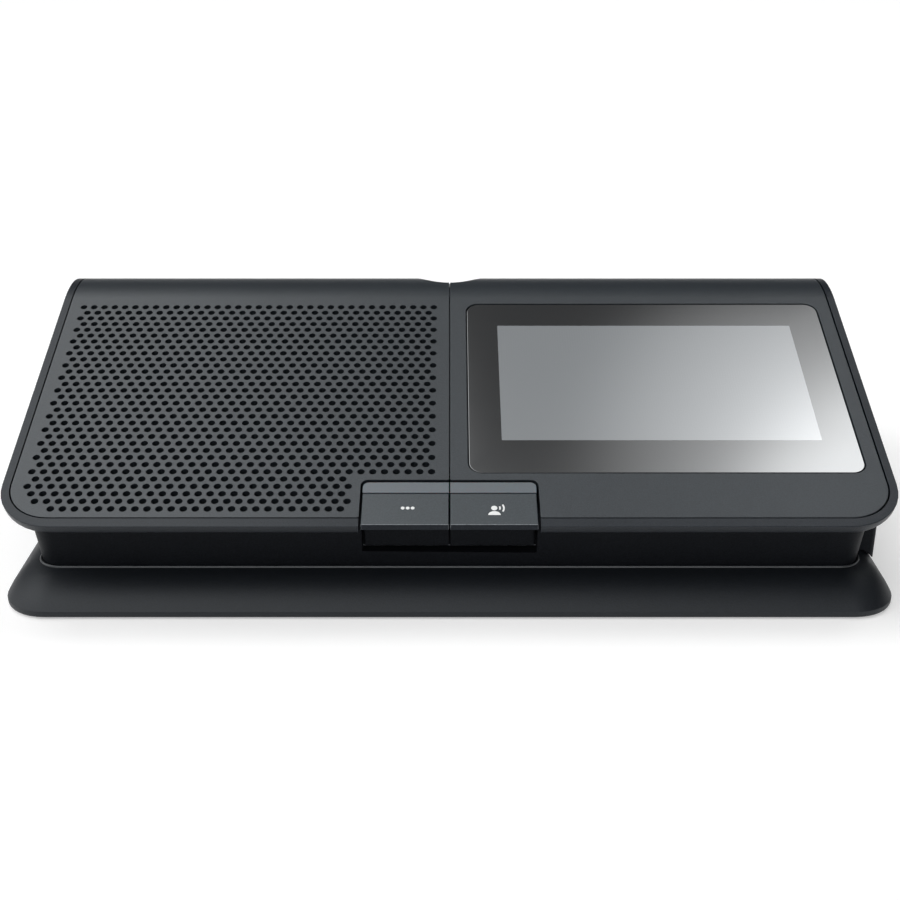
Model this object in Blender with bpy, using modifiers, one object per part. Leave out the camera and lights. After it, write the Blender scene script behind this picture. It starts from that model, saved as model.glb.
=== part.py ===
"""Conference delegate unit.

A desk station with a sloping top: a perforated loudspeaker cover on the left, a touch display on
the right, two sprung keys at the front centre and a socket for a plug-in microphone behind the
crest. A thin tray carries the covers and stands on a recessed neck over a flared base pan.

Axes: +X to the user's right, -Y towards the user, +Z up. The origin is on the table, under the
middle of the unit's bounding box. Top pieces are drawn flat, as u across, s along the top line from
the covers' front edge and n above the top surface, and are then bent over the crest.
"""

import math

import bmesh
import bpy
from mathutils import Matrix, Vector

# Clearances
FIT_GAP = 0.0003
SEAM_GAP = 0.0003
KEY_GAP = 0.00035
CUT_OVERRUN = 0.004

# Top line, seen from the side
SEAM_HEIGHT = 0.031
FRONT_SLOPE = math.radians(21.2)
REAR_SLOPE = math.radians(62.0)
CREST_FRONT_RADIUS = 0.036
CREST_REAR_RADIUS = 0.022
REAR_LENGTH = 0.035
CREST_FRONT_STEPS = 4
CREST_REAR_STEPS = 10

# Tray and rear cover
SIDE_BAND = 0.0024
FRONT_BAND = 0.0031
RIM_CORNER_RADIUS = 0.014
REAR_CORNER_RADIUS = 0.009
RIM_EDGE_ROUND = 0.0003
RIM_WALL_DEPTH = 0.0026
RIM_WALL_LEAN = 0.0004
RIM_CHAMFER = 0.001
RIM_LIP_INSET = 0.003
TRAY_FLOOR = 0.0025
COVER_SPLIT_ANGLE = math.radians(29.4)
CORNER_STEPS = 5

# Covers
GRILLE_COVER_THICKNESS = 0.002
DISPLAY_COVER_THICKNESS = 0.0026
CLOTH_THICKNESS = 0.0004
CLOTH_GAP = 0.0002
CLOTH_INSET = 0.0022
INNER_CORNER_RADIUS = 0.0005

# Perforated field
HOLE_PITCH = 0.0074
HOLE_DIAMETER = 0.0044
HOLE_SIDES = 6
FIELD_MARGIN = 0.0022

# Keys
KEY_WIDTH = 0.0246
KEY_REAR = 0.0138
KEY_OVERHANG = 0.0026
KEY_FIELD_GAP = 0.0007
KEY_NOTCH_RADIUS = 0.0018
KEY_CAP_THICKNESS = 0.0022
KEY_LIP_HEIGHT = 0.0018
KEY_LIP_DEPTH = 0.0016
KEY_TRAVEL = 0.0008
KEY_STOP_GAP = 0.0006
TONGUE_LENGTH = 0.0085
TONGUE_THICKNESS = 0.0015
SKIRT_THICKNESS = 0.0015
SKIRT_SETBACK = 0.0018
LIGHT_DEPTH = 0.0041
LIGHT_THICKNESS = 0.0014
LIGHT_CORNER_RADIUS = 0.0018
LIGHT_EDGE_ROUND = 0.0003
LIGHT_CORNER_STEPS = 3

# Key electronics
SWITCH_SIZE = 0.006
SWITCH_HEIGHT = 0.0034
SWITCH_PLUNGER_DIAMETER = 0.0032
SWITCH_BODY_SHARE = 0.7
SWITCH_REST_GAP = 0.0002
KEY_BOARD_THICKNESS = 0.0014
KEY_BOARD_EDGE = 0.0009
KEY_BOARD_LENGTH = 0.0112

# Display
GLASS_WIDTH = 0.1152
GLASS_LENGTH = 0.0786
GLASS_LEFT = 0.0057
GLASS_RIGHT = 0.00465
GLASS_BRIDGE = 0.0034
GLASS_REAR = 0.0029
GLASS_CORNER_RADIUS = 0.004
GLASS_RECESS = 0.0006
GLASS_THICKNESS = 0.002
PANEL_SIDE_INSET = 0.0056
PANEL_END_INSET = 0.0083
PANEL_THICKNESS = 0.0036

# Loudspeaker
SPEAKER_ACROSS = 0.064
SPEAKER_ALONG = 0.051
SPEAKER_HOLE_DIAMETER = 0.058
SPEAKER_FLANGE_WIDTH = 0.005
SPEAKER_FLANGE_THICKNESS = 0.0016
SPEAKER_BASKET_DEPTH = 0.012
SPEAKER_BASKET_WALL = 0.0016
SPEAKER_NECK_DIAMETER = 0.03
SPEAKER_MAGNET_DIAMETER = 0.036
SPEAKER_MAGNET_HEIGHT = 0.009
CONE_THICKNESS = 0.001
CONE_DEPTH = 0.006
CONE_ROLL_WIDTH = 0.0032
DUST_CAP_DIAMETER = 0.018
DUST_CAP_RISE = 0.003
DUST_CAP_SHARE = 0.6

# Neck, the recessed lower housing
NECK_SHOULDER_INSET = 0.00615
NECK_SIDE_LEAN = 0.001
NECK_FOOT_SETBACK = 0.012
NECK_SHOULDER_SETBACK = 0.007
NECK_SHOULDER_HEIGHT = 0.030
NECK_REAR_SETBACK = 0.0103
NECK_CORNER_RADIUS = 0.0065
NECK_WALL = 0.0025
KEY_BLOCK_WALL = 0.0041
KEY_BLOCK_DEPTH = 0.0165
KEY_LEDGE_HEIGHT = 0.01465
KEY_POCKET_DEPTH = 0.0032

# Base pan
BASE_SIDE_FLARE = 0.0088
BASE_FRONT_LEAD = 0.003
BASE_REAR_LEAD = 0.00305
BASE_CORNER_RADIUS = 0.0138
BASE_LIFT = 0.0005
BASE_EDGE_HEIGHT = 0.002
BASE_EDGE_CHAMFER = 0.0007
FOOT_LINE_HEIGHT = 0.0093
BEAD_WIDTH = 0.0007
BEAD_RISE = 0.0005
BEAD_ROUND_SHARE = 0.2
FLARE_POWER_SHARE = 2.25
PAN_FLOOR = 0.0027
PAN_WALL = 0.004
FLARE_STEPS = 4

# Main board and its posts
BOARD_WIDTH = 0.170
BOARD_LENGTH = 0.080
BOARD_THICKNESS = 0.0016
BOARD_LIFT = 0.0078
BOARD_REAR_SETBACK = 0.0035
BOARD_POST_DIAMETER = 0.007
BOARD_POST_INSET = 0.006

# Base screws and feet
SCREW_SHANK_DIAMETER = 0.0024
SCREW_HEAD_DIAMETER = 0.0056
SCREW_HEAD_HEIGHT = 0.0018
SCREW_LENGTH = 0.0095
SCREW_INSET = 0.0052
SCREW_POST_DIAMETER = 0.009
SCREW_SEAT_HEIGHT = 0.0028
SCREW_POST_HEIGHT = 0.0125
SCREW_RIM_SHARE = 0.6
SCREW_FACE_SHARE = 0.8
DRIVE_DIAMETER = 0.0024
DRIVE_DEPTH = 0.001
FOOT_DIAMETER = 0.012
FOOT_THICKNESS = 0.0014
FOOT_INSET = 0.026
FOOT_END_INSET = 0.013

# Microphone socket
SOCKET_TILT = math.radians(28.0)
SOCKET_RECESS_DIAMETER = 0.024
SOCKET_RECESS_DEPTH = 0.005
SOCKET_LENGTH = 0.016
SOCKET_BORE_DIAMETER = 0.0132
SOCKET_BORE_DEPTH = 0.0125
SOCKET_EDGE = 0.0008
CONTACT_DISC_THICKNESS = 0.0016
CONTACT_PIN_DIAMETER = 0.0011
CONTACT_PIN_HEIGHT = 0.0018
CONTACT_PIN_CIRCLE = 0.0052
CONTACT_PINS = 3

# Network ports
PORT_WIDTH = 0.0158
PORT_HEIGHT = 0.0132
PORT_LENGTH = 0.0145
PORT_SPACING = 0.022
PORT_MOUTH_WIDTH = 0.0118
PORT_MOUTH_HEIGHT = 0.0072
PORT_MOUTH_DEPTH = 0.0115
PORT_MOUTH_RISE = 0.0026
PORT_LATCH_WIDTH = 0.006
PORT_LATCH_HEIGHT = 0.0016

# Headphone jack
JACK_DIAMETER = 0.0076
JACK_BORE_DIAMETER = 0.0036
JACK_LENGTH = 0.013
JACK_BORE_DEPTH = 0.011
JACK_SETBACK = 0.034
JACK_HEIGHT = 0.0195

# Card reader on the right side of the neck
READER_PROUD = 0.006
READER_SETBACK = 0.022
READER_END_WALL = 0.005
READER_CORNER_RADIUS = 0.0018
CARD_SLOT_LENGTH = 0.056
CARD_SLOT_DEPTH = 0.009
CARD_SLOT_HEIGHT = 0.0018
CARD_SLOT_RISE = 0.0215

# Facets
FINE_SEGMENTS = 28
ROUND_SEGMENTS = 20
SMALL_SEGMENTS = 10
SMOOTH_ANGLE = math.radians(32.0)
MERGE_DISTANCE = 0.00001

# Derived places, measured from the covers' front edge unless a name says otherwise
COVER_HALF_WIDTH = GLASS_LEFT + GLASS_WIDTH + GLASS_RIGHT
TRAY_WIDTH = 2 * (COVER_HALF_WIDTH + SEAM_GAP + SIDE_BAND)
KEY_INNER = KEY_GAP / 2
KEY_OUTER = KEY_INNER + KEY_WIDTH
KEY_FIELD_HALF = KEY_OUTER + KEY_FIELD_GAP
KEY_FIELD_REAR = KEY_REAR + KEY_FIELD_GAP
GLASS_FRONT = KEY_FIELD_REAR + GLASS_BRIDGE
SLOPE_LENGTH = GLASS_FRONT + GLASS_LENGTH + GLASS_REAR
GLASS_CENTRE = (GLASS_LEFT + GLASS_WIDTH / 2, GLASS_FRONT + GLASS_LENGTH / 2)
PANEL_WIDTH = GLASS_WIDTH - 2 * PANEL_SIDE_INSET
PANEL_LENGTH = GLASS_LENGTH - 2 * PANEL_END_INSET
RECESS_DEPTH = DISPLAY_COVER_THICKNESS + FIT_GAP
TRAY_THICKNESS = RECESS_DEPTH + TRAY_FLOOR
TRAY_FRONT = -(SEAM_GAP + FRONT_BAND)
CREST_START = SLOPE_LENGTH
CREST_TOP = CREST_START + CREST_FRONT_RADIUS * FRONT_SLOPE
CREST_END = CREST_TOP + CREST_REAR_RADIUS * REAR_SLOPE
TOP_LINE_END = CREST_END + REAR_LENGTH
COVER_SPLIT = CREST_TOP + CREST_REAR_RADIUS * COVER_SPLIT_ANGLE
TRAY_END = COVER_SPLIT + SEAM_GAP
REAR_COVER_START = TRAY_END + SEAM_GAP
SOCKET_ALONG = CREST_TOP + CREST_REAR_RADIUS * SOCKET_TILT
TONGUE_TOP = DISPLAY_COVER_THICKNESS + KEY_STOP_GAP
TONGUE_BOTTOM = TONGUE_TOP + TONGUE_THICKNESS
TONGUE_END = KEY_REAR + TONGUE_LENGTH
KEY_OPENING_REAR = TONGUE_END + KEY_GAP * 2
SWITCH_TOP = TONGUE_BOTTOM + KEY_TRAVEL + SWITCH_REST_GAP
KEY_BOARD_TOP = SWITCH_TOP + SWITCH_HEIGHT + FIT_GAP
KEY_BOARD_BOTTOM = KEY_BOARD_TOP + KEY_BOARD_THICKNESS
KEY_BOARD_FRONT = KEY_REAR
CREST_REACH = SLOPE_LENGTH * math.cos(FRONT_SLOPE) + CREST_FRONT_RADIUS * math.sin(FRONT_SLOPE)
REAR_REACH = CREST_REAR_RADIUS * math.sin(REAR_SLOPE) + REAR_LENGTH * math.cos(REAR_SLOPE)
BASE_REAR = CREST_REACH + REAR_REACH + BASE_REAR_LEAD
NECK_REAR = BASE_REAR - NECK_REAR_SETBACK
NECK_SHOULDER_HALF_WIDTH = TRAY_WIDTH / 2 - NECK_SHOULDER_INSET
NECK_FOOT_HALF_WIDTH = NECK_SHOULDER_HALF_WIDTH - NECK_SIDE_LEAN
BASE_WIDTH = 2 * (NECK_FOOT_HALF_WIDTH + BASE_SIDE_FLARE)
ROUGH_TOP = SEAM_HEIGHT + SLOPE_LENGTH
READER_REACH = NECK_SHOULDER_HALF_WIDTH + READER_PROUD
READER_LENGTH = CARD_SLOT_LENGTH + 2 * READER_END_WALL
SPEAKER_FLANGE_DIAMETER = SPEAKER_HOLE_DIAMETER + 2 * SPEAKER_FLANGE_WIDTH
FLOOR_UNDERSIDE = TRAY_THICKNESS + FIT_GAP
RIM_REACH = -TRAY_FRONT * math.cos(FRONT_SLOPE) - RIM_EDGE_ROUND * math.sin(FRONT_SLOPE)
SEAM_Y = (RIM_REACH - BASE_REAR) / 2
FLOOR_TOP = BASE_LIFT + PAN_FLOOR
BOARD_TOP = BOARD_LIFT + BOARD_THICKNESS

COVER_FRAME = Matrix.Translation((0, SEAM_Y, SEAM_HEIGHT)) @ Matrix.Rotation(FRONT_SLOPE, 4, "X")


# Scene and collections


def clear_scene():
    for item in list(bpy.data.objects):
        bpy.data.objects.remove(item, do_unlink=True)


def new_collection(name):
    collection = bpy.data.collections.new(name)
    bpy.context.scene.collection.children.link(collection)
    return collection


clear_scene()
PARTS = new_collection("conference_delegate_unit")
CUTTERS = new_collection("cutters")


# Materials


def srgb_to_linear(value):
    return value / 12.92 if value <= 0.04045 else ((value + 0.055) / 1.055) ** 2.4


def material(name, hex_colour, roughness, metallic=0.0):
    finish = bpy.data.materials.new(name)
    finish.use_nodes = True
    shader = finish.node_tree.nodes["Principled BSDF"]
    channels = [srgb_to_linear(int(hex_colour[i:i + 2], 16) / 255) for i in (0, 2, 4)]
    shader.inputs["Base Color"].default_value = (*channels, 1.0)
    shader.inputs["Roughness"].default_value = roughness
    shader.inputs["Metallic"].default_value = metallic
    return finish


# Solids


def add_object(name, mesh, collection, finish=None, smooth=False):
    item = bpy.data.objects.new(name, mesh)
    collection.objects.link(item)
    if finish is not None:
        mesh.materials.append(finish)
    if smooth:
        mesh.shade_smooth()
        mesh.set_sharp_from_angle(angle=SMOOTH_ANGLE)
    if collection is CUTTERS:
        item.hide_render = True
        item.display_type = "WIRE"
    return item


def mesh_from(name, form):
    bmesh.ops.recalc_face_normals(form, faces=form.faces)
    mesh = bpy.data.meshes.new(name)
    form.to_mesh(mesh)
    form.free()
    return mesh


def evaluated_mesh(item):
    bpy.context.view_layer.update()
    graph = bpy.context.evaluated_depsgraph_get()
    return bpy.data.meshes.new_from_object(item.evaluated_get(graph))


def remove_with_cutters(item):
    for modifier in item.modifiers:
        if modifier.type == "BOOLEAN":
            bpy.data.objects.remove(modifier.object, do_unlink=True)
    bpy.data.objects.remove(item, do_unlink=True)


def filleted(corners, steps=CORNER_STEPS):
    """Outline through corners given as (x, y, radius), each rounded by an arc of equal steps."""
    points = []
    for index, (x, y, radius) in enumerate(corners):
        here = Vector((x, y))
        before = (Vector(corners[index - 1][:2]) - here).normalized()
        after = (Vector(corners[(index + 1) % len(corners)][:2]) - here).normalized()
        half = before.angle(after) / 2
        centre = here + (before + after).normalized() * (radius / math.sin(half))
        start = here + before * (radius / math.tan(half)) - centre
        end = here + after * (radius / math.tan(half)) - centre
        sweep = start.angle_signed(end)
        for step in range(steps + 1):
            turn = Matrix.Rotation(-sweep * step / steps, 2)
            points.append(centre + turn @ start)
    return points


def rectangle(low_x, high_x, low_y, high_y, front_radius, rear_radius=None, steps=CORNER_STEPS):
    rear = front_radius if rear_radius is None else rear_radius
    corners = [
        (low_x, low_y, front_radius),
        (high_x, low_y, front_radius),
        (high_x, high_y, rear),
        (low_x, high_y, rear),
    ]
    return filleted(corners, steps)


def polygon(centre, radius, sides):
    turns = [2 * math.pi * (side + 0.5) / sides for side in range(sides)]
    return [Vector(centre) + radius * Vector((math.cos(turn), math.sin(turn))) for turn in turns]


def outline_mesh(name, outlines, low, high):
    """Flat outline, with holes where outlines lie inside it, as a solid from low to high."""
    curve = bpy.data.curves.new(name, "CURVE")
    curve.dimensions = "2D"
    curve.fill_mode = "BOTH"
    curve.extrude = (high - low) / 2
    for outline in outlines:
        spline = curve.splines.new("POLY")
        spline.points.add(len(outline) - 1)
        for point, place in zip(spline.points, outline):
            point.co = (place[0], place[1], 0.0, 1.0)
        spline.use_cyclic_u = True
    flat = bpy.data.objects.new(name, curve)
    PARTS.objects.link(flat)
    mesh = evaluated_mesh(flat)
    bpy.data.objects.remove(flat, do_unlink=True)
    form = bmesh.new()
    form.from_mesh(mesh)
    bmesh.ops.remove_doubles(form, verts=form.verts, dist=MERGE_DISTANCE)
    bmesh.ops.translate(form, verts=form.verts, vec=(0, 0, (low + high) / 2))
    return mesh_from(name, form)


def loft_mesh(name, rings):
    """Closed solid through rings of as many points each, capped at both ends."""
    form = bmesh.new()
    loops = [[form.verts.new(point) for point in ring] for ring in rings]
    for lower, upper in zip(loops, loops[1:]):
        for index in range(len(lower)):
            following = (index + 1) % len(lower)
            form.faces.new((lower[index], lower[following], upper[following], upper[index]))
    form.faces.new(loops[0])
    form.faces.new(loops[-1])
    return mesh_from(name, form)


def block_mesh(name, low, high):
    form = bmesh.new()
    size = Vector(high) - Vector(low)
    middle = (Vector(high) + Vector(low)) / 2
    bmesh.ops.create_cube(form, size=1.0, matrix=Matrix.Translation(middle) @ Matrix.Diagonal((*size, 1)))
    return mesh_from(name, form)


def cylinder_mesh(name, diameter, low, high, centre=(0, 0), segments=ROUND_SEGMENTS):
    form = bmesh.new()
    middle = Matrix.Translation((centre[0], centre[1], (low + high) / 2))
    bmesh.ops.create_cone(form, cap_ends=True, segments=segments, radius1=diameter / 2,
                          radius2=diameter / 2, depth=high - low, matrix=middle)
    return mesh_from(name, form)


def turned(name, profile, finish, segments=ROUND_SEGMENTS, ring=False):
    """Profile of (radius, height) points, outer side downwards, turned about Z by a Screw."""
    mesh = bpy.data.meshes.new(name)
    edges = [(index, index + 1) for index in range(len(profile) - 1)]
    if ring:
        edges.append((len(profile) - 1, 0))
    mesh.from_pydata([(radius, 0, height) for radius, height in profile], edges, [])
    item = add_object(name, mesh, PARTS, finish)
    screw = item.modifiers.new("turn", "SCREW")
    screw.axis = "Z"
    screw.steps = segments
    screw.render_steps = segments
    screw.use_merge_vertices = True
    screw.merge_threshold = MERGE_DISTANCE
    screw.use_smooth_shade = True
    return item


def edge_bevel(item, width, segments=1):
    bevel = item.modifiers.new("edges", "BEVEL")
    bevel.width = width
    bevel.segments = segments
    bevel.limit_method = "ANGLE"
    bevel.angle_limit = SMOOTH_ANGLE


def combine(target, mesh, operation="DIFFERENCE", frame=None, solver="EXACT"):
    """Boolean of the target with a cutter made from the mesh and placed by the frame."""
    cutter = add_object("cutter_" + mesh.name, mesh, CUTTERS)
    if frame is not None:
        cutter.matrix_world = frame
    boolean = target.modifiers.new(operation.lower(), "BOOLEAN")
    boolean.operation = operation
    boolean.solver = solver
    boolean.object = cutter


# Bending over the crest


def top_line(s, n):
    """World y and z of a point s along the top line and n above the top surface."""
    point = Vector((0.0, 0.0))
    if s <= CREST_START:
        angle = FRONT_SLOPE
        point = s * Vector((math.cos(angle), math.sin(angle)))
    else:
        start = CREST_START * Vector((math.cos(FRONT_SLOPE), math.sin(FRONT_SLOPE)))
        hub = start - CREST_FRONT_RADIUS * Vector((-math.sin(FRONT_SLOPE), math.cos(FRONT_SLOPE)))
        angle = max(FRONT_SLOPE - (s - CREST_START) / CREST_FRONT_RADIUS, 0.0)
        point = hub + CREST_FRONT_RADIUS * Vector((-math.sin(angle), math.cos(angle)))
    if s > CREST_TOP:
        hub = point - CREST_REAR_RADIUS * Vector((0.0, 1.0))
        angle = -min((s - CREST_TOP) / CREST_REAR_RADIUS, REAR_SLOPE)
        point = hub + CREST_REAR_RADIUS * Vector((-math.sin(angle), math.cos(angle)))
    if s > CREST_END:
        point = point + (s - CREST_END) * Vector((math.cos(angle), math.sin(angle)))
    point = point + n * Vector((-math.sin(angle), math.cos(angle)))
    return SEAM_Y + point[0], SEAM_HEIGHT + point[1]


def bend_stations():
    front = [CREST_START + (CREST_TOP - CREST_START) * step / CREST_FRONT_STEPS
             for step in range(CREST_FRONT_STEPS)]
    rear = [CREST_TOP + (CREST_END - CREST_TOP) * step / CREST_REAR_STEPS
            for step in range(CREST_REAR_STEPS + 1)]
    return front + rear


def bent_mesh(name, flat):
    """Copy of a flat-drawn mesh, crossed by a cut at each station and bent over the crest."""
    form = bmesh.new()
    form.from_mesh(flat)
    for station in bend_stations():
        geometry = list(form.verts) + list(form.edges) + list(form.faces)
        bmesh.ops.bisect_plane(form, geom=geometry, dist=MERGE_DISTANCE,
                               plane_co=(0, station, 0), plane_no=(0, 1, 0))
    for vertex in form.verts:
        y, z = top_line(vertex.co.y, vertex.co.z)
        vertex.co.y = y
        vertex.co.z = z
    return mesh_from(name, form)


def over_tray_mesh(name):
    """Everything above the tray's underside and its clearance, to trim what stands below it."""
    first = TRAY_FRONT - CUT_OVERRUN
    last = TOP_LINE_END + CUT_OVERRUN
    stations = [first] + bend_stations() + [last]
    line = [top_line(station, -FLOOR_UNDERSIDE) for station in stations]
    ceiling = ROUGH_TOP + CUT_OVERRUN
    reach = BASE_WIDTH / 2 + CUT_OVERRUN
    outline = [(line[0][0], ceiling)] + line + [(line[-1][0], ceiling)]
    rings = [[(side, y, z) for y, z in outline] for side in (-reach, reach)]
    return loft_mesh(name, rings)


def socket_frame():
    """Frame whose Z axis is the microphone socket's, with its origin on the top surface."""
    y, z = top_line(SOCKET_ALONG, 0)
    return Matrix.Translation((0, y, z)) @ Matrix.Rotation(-SOCKET_TILT, 4, "X")


def socket_recess_mesh(name):
    return cylinder_mesh(name, SOCKET_RECESS_DIAMETER, -SOCKET_LENGTH * 2, SOCKET_LENGTH,
                         segments=FINE_SEGMENTS)


# Rim section shared by the tray and the rear cover


def rim_section():
    """Insets and heights of the outer wall, from the top edge down to the flat underside."""
    return [
        (RIM_EDGE_ROUND, 0.0),
        (0.0, -RIM_EDGE_ROUND),
        (RIM_WALL_LEAN, -RIM_WALL_DEPTH),
        (RIM_WALL_LEAN + RIM_CHAMFER, -RIM_WALL_DEPTH - RIM_CHAMFER),
        (RIM_LIP_INSET, -TRAY_THICKNESS),
    ]


def body_tray(finish):
    rings = []
    for inset, height in rim_section():
        half = TRAY_WIDTH / 2 - inset
        outline = rectangle(-half, half, TRAY_FRONT + inset, TRAY_END,
                            RIM_CORNER_RADIUS - inset, INNER_CORNER_RADIUS)
        rings.append([(point[0], point[1], height) for point in outline])
    flat = add_object("tray_flat", loft_mesh("tray_flat", rings), PARTS)
    half = COVER_HALF_WIDTH + SEAM_GAP
    recess = rectangle(-half, half, -SEAM_GAP, TRAY_END + CUT_OVERRUN,
                       RIM_CORNER_RADIUS - SIDE_BAND, INNER_CORNER_RADIUS)
    combine(flat, outline_mesh("recess", [recess], -RECESS_DEPTH, CUT_OVERRUN))
    combine(flat, block_mesh("key_opening",
                             (-KEY_FIELD_HALF, TRAY_FRONT - CUT_OVERRUN, -TRAY_THICKNESS - CUT_OVERRUN),
                             (KEY_FIELD_HALF, KEY_OPENING_REAR, CUT_OVERRUN)))
    combine(flat, cylinder_mesh("speaker_opening", SPEAKER_HOLE_DIAMETER,
                                -TRAY_THICKNESS - CUT_OVERRUN, 0,
                                (-SPEAKER_ACROSS, SPEAKER_ALONG), FINE_SEGMENTS))
    half_width = PANEL_WIDTH / 2 + FIT_GAP
    half_length = PANEL_LENGTH / 2 + FIT_GAP
    combine(flat, block_mesh(
        "panel_opening",
        (GLASS_CENTRE[0] - half_width, GLASS_CENTRE[1] - half_length, -TRAY_THICKNESS - CUT_OVERRUN),
        (GLASS_CENTRE[0] + half_width, GLASS_CENTRE[1] + half_length, 0)))
    bent = bent_mesh("body_tray", evaluated_mesh(flat))
    remove_with_cutters(flat)
    tray = add_object("body_tray", bent, PARTS, finish, smooth=True)
    combine(tray, socket_recess_mesh("tray_socket"), frame=socket_frame())
    return tray


def rear_cover(finish):
    rings = []
    for inset, height in rim_section():
        half = TRAY_WIDTH / 2 - inset
        outline = rectangle(-half, half, REAR_COVER_START, TOP_LINE_END - inset,
                            INNER_CORNER_RADIUS, REAR_CORNER_RADIUS - inset)
        rings.append([(point[0], point[1], height) for point in outline])
    bent = bent_mesh("rear_cover", loft_mesh("rear_flat", rings))
    cover = add_object("rear_cover", bent, PARTS, finish, smooth=True)
    combine(cover, socket_recess_mesh("rear_socket"), frame=socket_frame())
    return cover


# Covers


def cover_corners(side, inset=0.0):
    """Corners of the left (side -1) or right (side 1) cover, with the notch for its key."""
    inner = SEAM_GAP / 2 + inset
    outer = COVER_HALF_WIDTH - inset
    notch = KEY_FIELD_HALF + inset
    corners = [
        (outer, inset, RIM_CORNER_RADIUS - SIDE_BAND - SEAM_GAP - inset),
        (outer, COVER_SPLIT - inset, INNER_CORNER_RADIUS),
        (inner, COVER_SPLIT - inset, INNER_CORNER_RADIUS),
        (inner, KEY_FIELD_REAR + inset, INNER_CORNER_RADIUS),
        (notch, KEY_FIELD_REAR + inset, KEY_NOTCH_RADIUS + inset),
        (notch, inset, INNER_CORNER_RADIUS),
    ]
    return [(side * x, y, radius) for x, y, radius in corners]


def far_from_edges(place, margin):
    """Whether a point of the left cover keeps a margin to its edges, key notch and corner."""
    across, along = -place[0], place[1]
    if not SEAM_GAP + margin <= across <= COVER_HALF_WIDTH - margin:
        return False
    if not margin <= along <= SLOPE_LENGTH - margin:
        return False
    if across < KEY_FIELD_HALF + margin and along < KEY_FIELD_REAR + margin:
        return False
    radius = RIM_CORNER_RADIUS - SIDE_BAND - SEAM_GAP
    corner = Vector((COVER_HALF_WIDTH - radius, radius))
    offset = Vector((across, along)) - corner
    return offset.x < 0 or offset.y > 0 or offset.length <= radius - margin


def hole_centres():
    """Centres of the staggered rows, front to back, centred on the cover."""
    row_pitch = HOLE_PITCH * math.sqrt(3) / 2
    margin = FIELD_MARGIN + HOLE_DIAMETER / 2
    rows = int((SLOPE_LENGTH - 2 * margin) / row_pitch)
    columns = int((COVER_HALF_WIDTH - 2 * margin) / HOLE_PITCH)
    first_row = (SLOPE_LENGTH - rows * row_pitch) / 2
    first_column = (COVER_HALF_WIDTH - columns * HOLE_PITCH) / 2
    centres = []
    for row in range(rows + 1):
        shift = HOLE_PITCH / 2 if row % 2 else 0.0
        for column in range(columns + 1):
            place = (-(first_column + shift + column * HOLE_PITCH), first_row + row * row_pitch)
            if far_from_edges(place, margin):
                centres.append(place)
    return centres


def grille_cover(finish):
    outlines = [filleted(cover_corners(-1))]
    for centre in hole_centres():
        outlines.append(polygon(centre, HOLE_DIAMETER / 2, HOLE_SIDES))
    flat = outline_mesh("grille_flat", outlines, -GRILLE_COVER_THICKNESS, 0)
    cover = add_object("grille_cover", bent_mesh("grille_cover", flat), PARTS, finish, smooth=True)
    combine(cover, socket_recess_mesh("grille_socket"), frame=socket_frame(), solver="MANIFOLD")
    return cover


def display_cover(finish):
    half = Vector((GLASS_WIDTH / 2 + FIT_GAP, GLASS_LENGTH / 2 + FIT_GAP))
    window = rectangle(GLASS_CENTRE[0] - half.x, GLASS_CENTRE[0] + half.x,
                       GLASS_CENTRE[1] - half.y, GLASS_CENTRE[1] + half.y,
                       GLASS_CORNER_RADIUS + FIT_GAP)
    outlines = [filleted(cover_corners(1)), window]
    flat = outline_mesh("display_flat", outlines, -DISPLAY_COVER_THICKNESS, 0)
    cover = add_object("display_cover", bent_mesh("display_cover", flat), PARTS, finish, smooth=True)
    combine(cover, socket_recess_mesh("display_socket"), frame=socket_frame())
    return cover


def acoustic_cloth(finish):
    """Cloth behind the perforated field, clear of the left key."""
    clear = KEY_FIELD_HALF + CLOTH_INSET
    outer = COVER_HALF_WIDTH - CLOTH_INSET
    inner = SEAM_GAP / 2 + CLOTH_INSET
    step = KEY_FIELD_REAR + CLOTH_INSET
    radius = RIM_CORNER_RADIUS - SIDE_BAND - SEAM_GAP - CLOTH_INSET
    corners = [
        (-outer, CLOTH_INSET, radius),
        (-outer, SLOPE_LENGTH - CLOTH_INSET, INNER_CORNER_RADIUS),
        (-inner, SLOPE_LENGTH - CLOTH_INSET, INNER_CORNER_RADIUS),
        (-inner, step, INNER_CORNER_RADIUS),
        (-clear, step, INNER_CORNER_RADIUS),
        (-clear, CLOTH_INSET, INNER_CORNER_RADIUS),
    ]
    top = -GRILLE_COVER_THICKNESS - CLOTH_GAP
    mesh = outline_mesh("acoustic_cloth", [filleted(corners, steps=3)], top - CLOTH_THICKNESS, top)
    cloth = add_object("acoustic_cloth", mesh, PARTS, finish)
    cloth.matrix_world = COVER_FRAME
    return cloth


# Display


def display_glass(finish):
    outline = rectangle(-GLASS_WIDTH / 2, GLASS_WIDTH / 2, -GLASS_LENGTH / 2, GLASS_LENGTH / 2,
                        GLASS_CORNER_RADIUS)
    mesh = outline_mesh("display_glass", [outline], -GLASS_THICKNESS, 0)
    glass = add_object("display_glass", mesh, PARTS, finish)
    glass.matrix_world = COVER_FRAME @ Matrix.Translation((*GLASS_CENTRE, -GLASS_RECESS))
    return glass


def display_panel(finish):
    mesh = block_mesh("display_panel", (-PANEL_WIDTH / 2, -PANEL_LENGTH / 2, -PANEL_THICKNESS),
                      (PANEL_WIDTH / 2, PANEL_LENGTH / 2, 0))
    panel = add_object("display_panel", mesh, PARTS, finish)
    depth = GLASS_RECESS + GLASS_THICKNESS + FIT_GAP
    panel.matrix_world = COVER_FRAME @ Matrix.Translation((*GLASS_CENTRE, -depth))
    return panel


# Loudspeaker, turned about the cover's normal


def speaker_place(depth):
    return COVER_FRAME @ Matrix.Translation((-SPEAKER_ACROSS, SPEAKER_ALONG, -depth))


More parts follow.
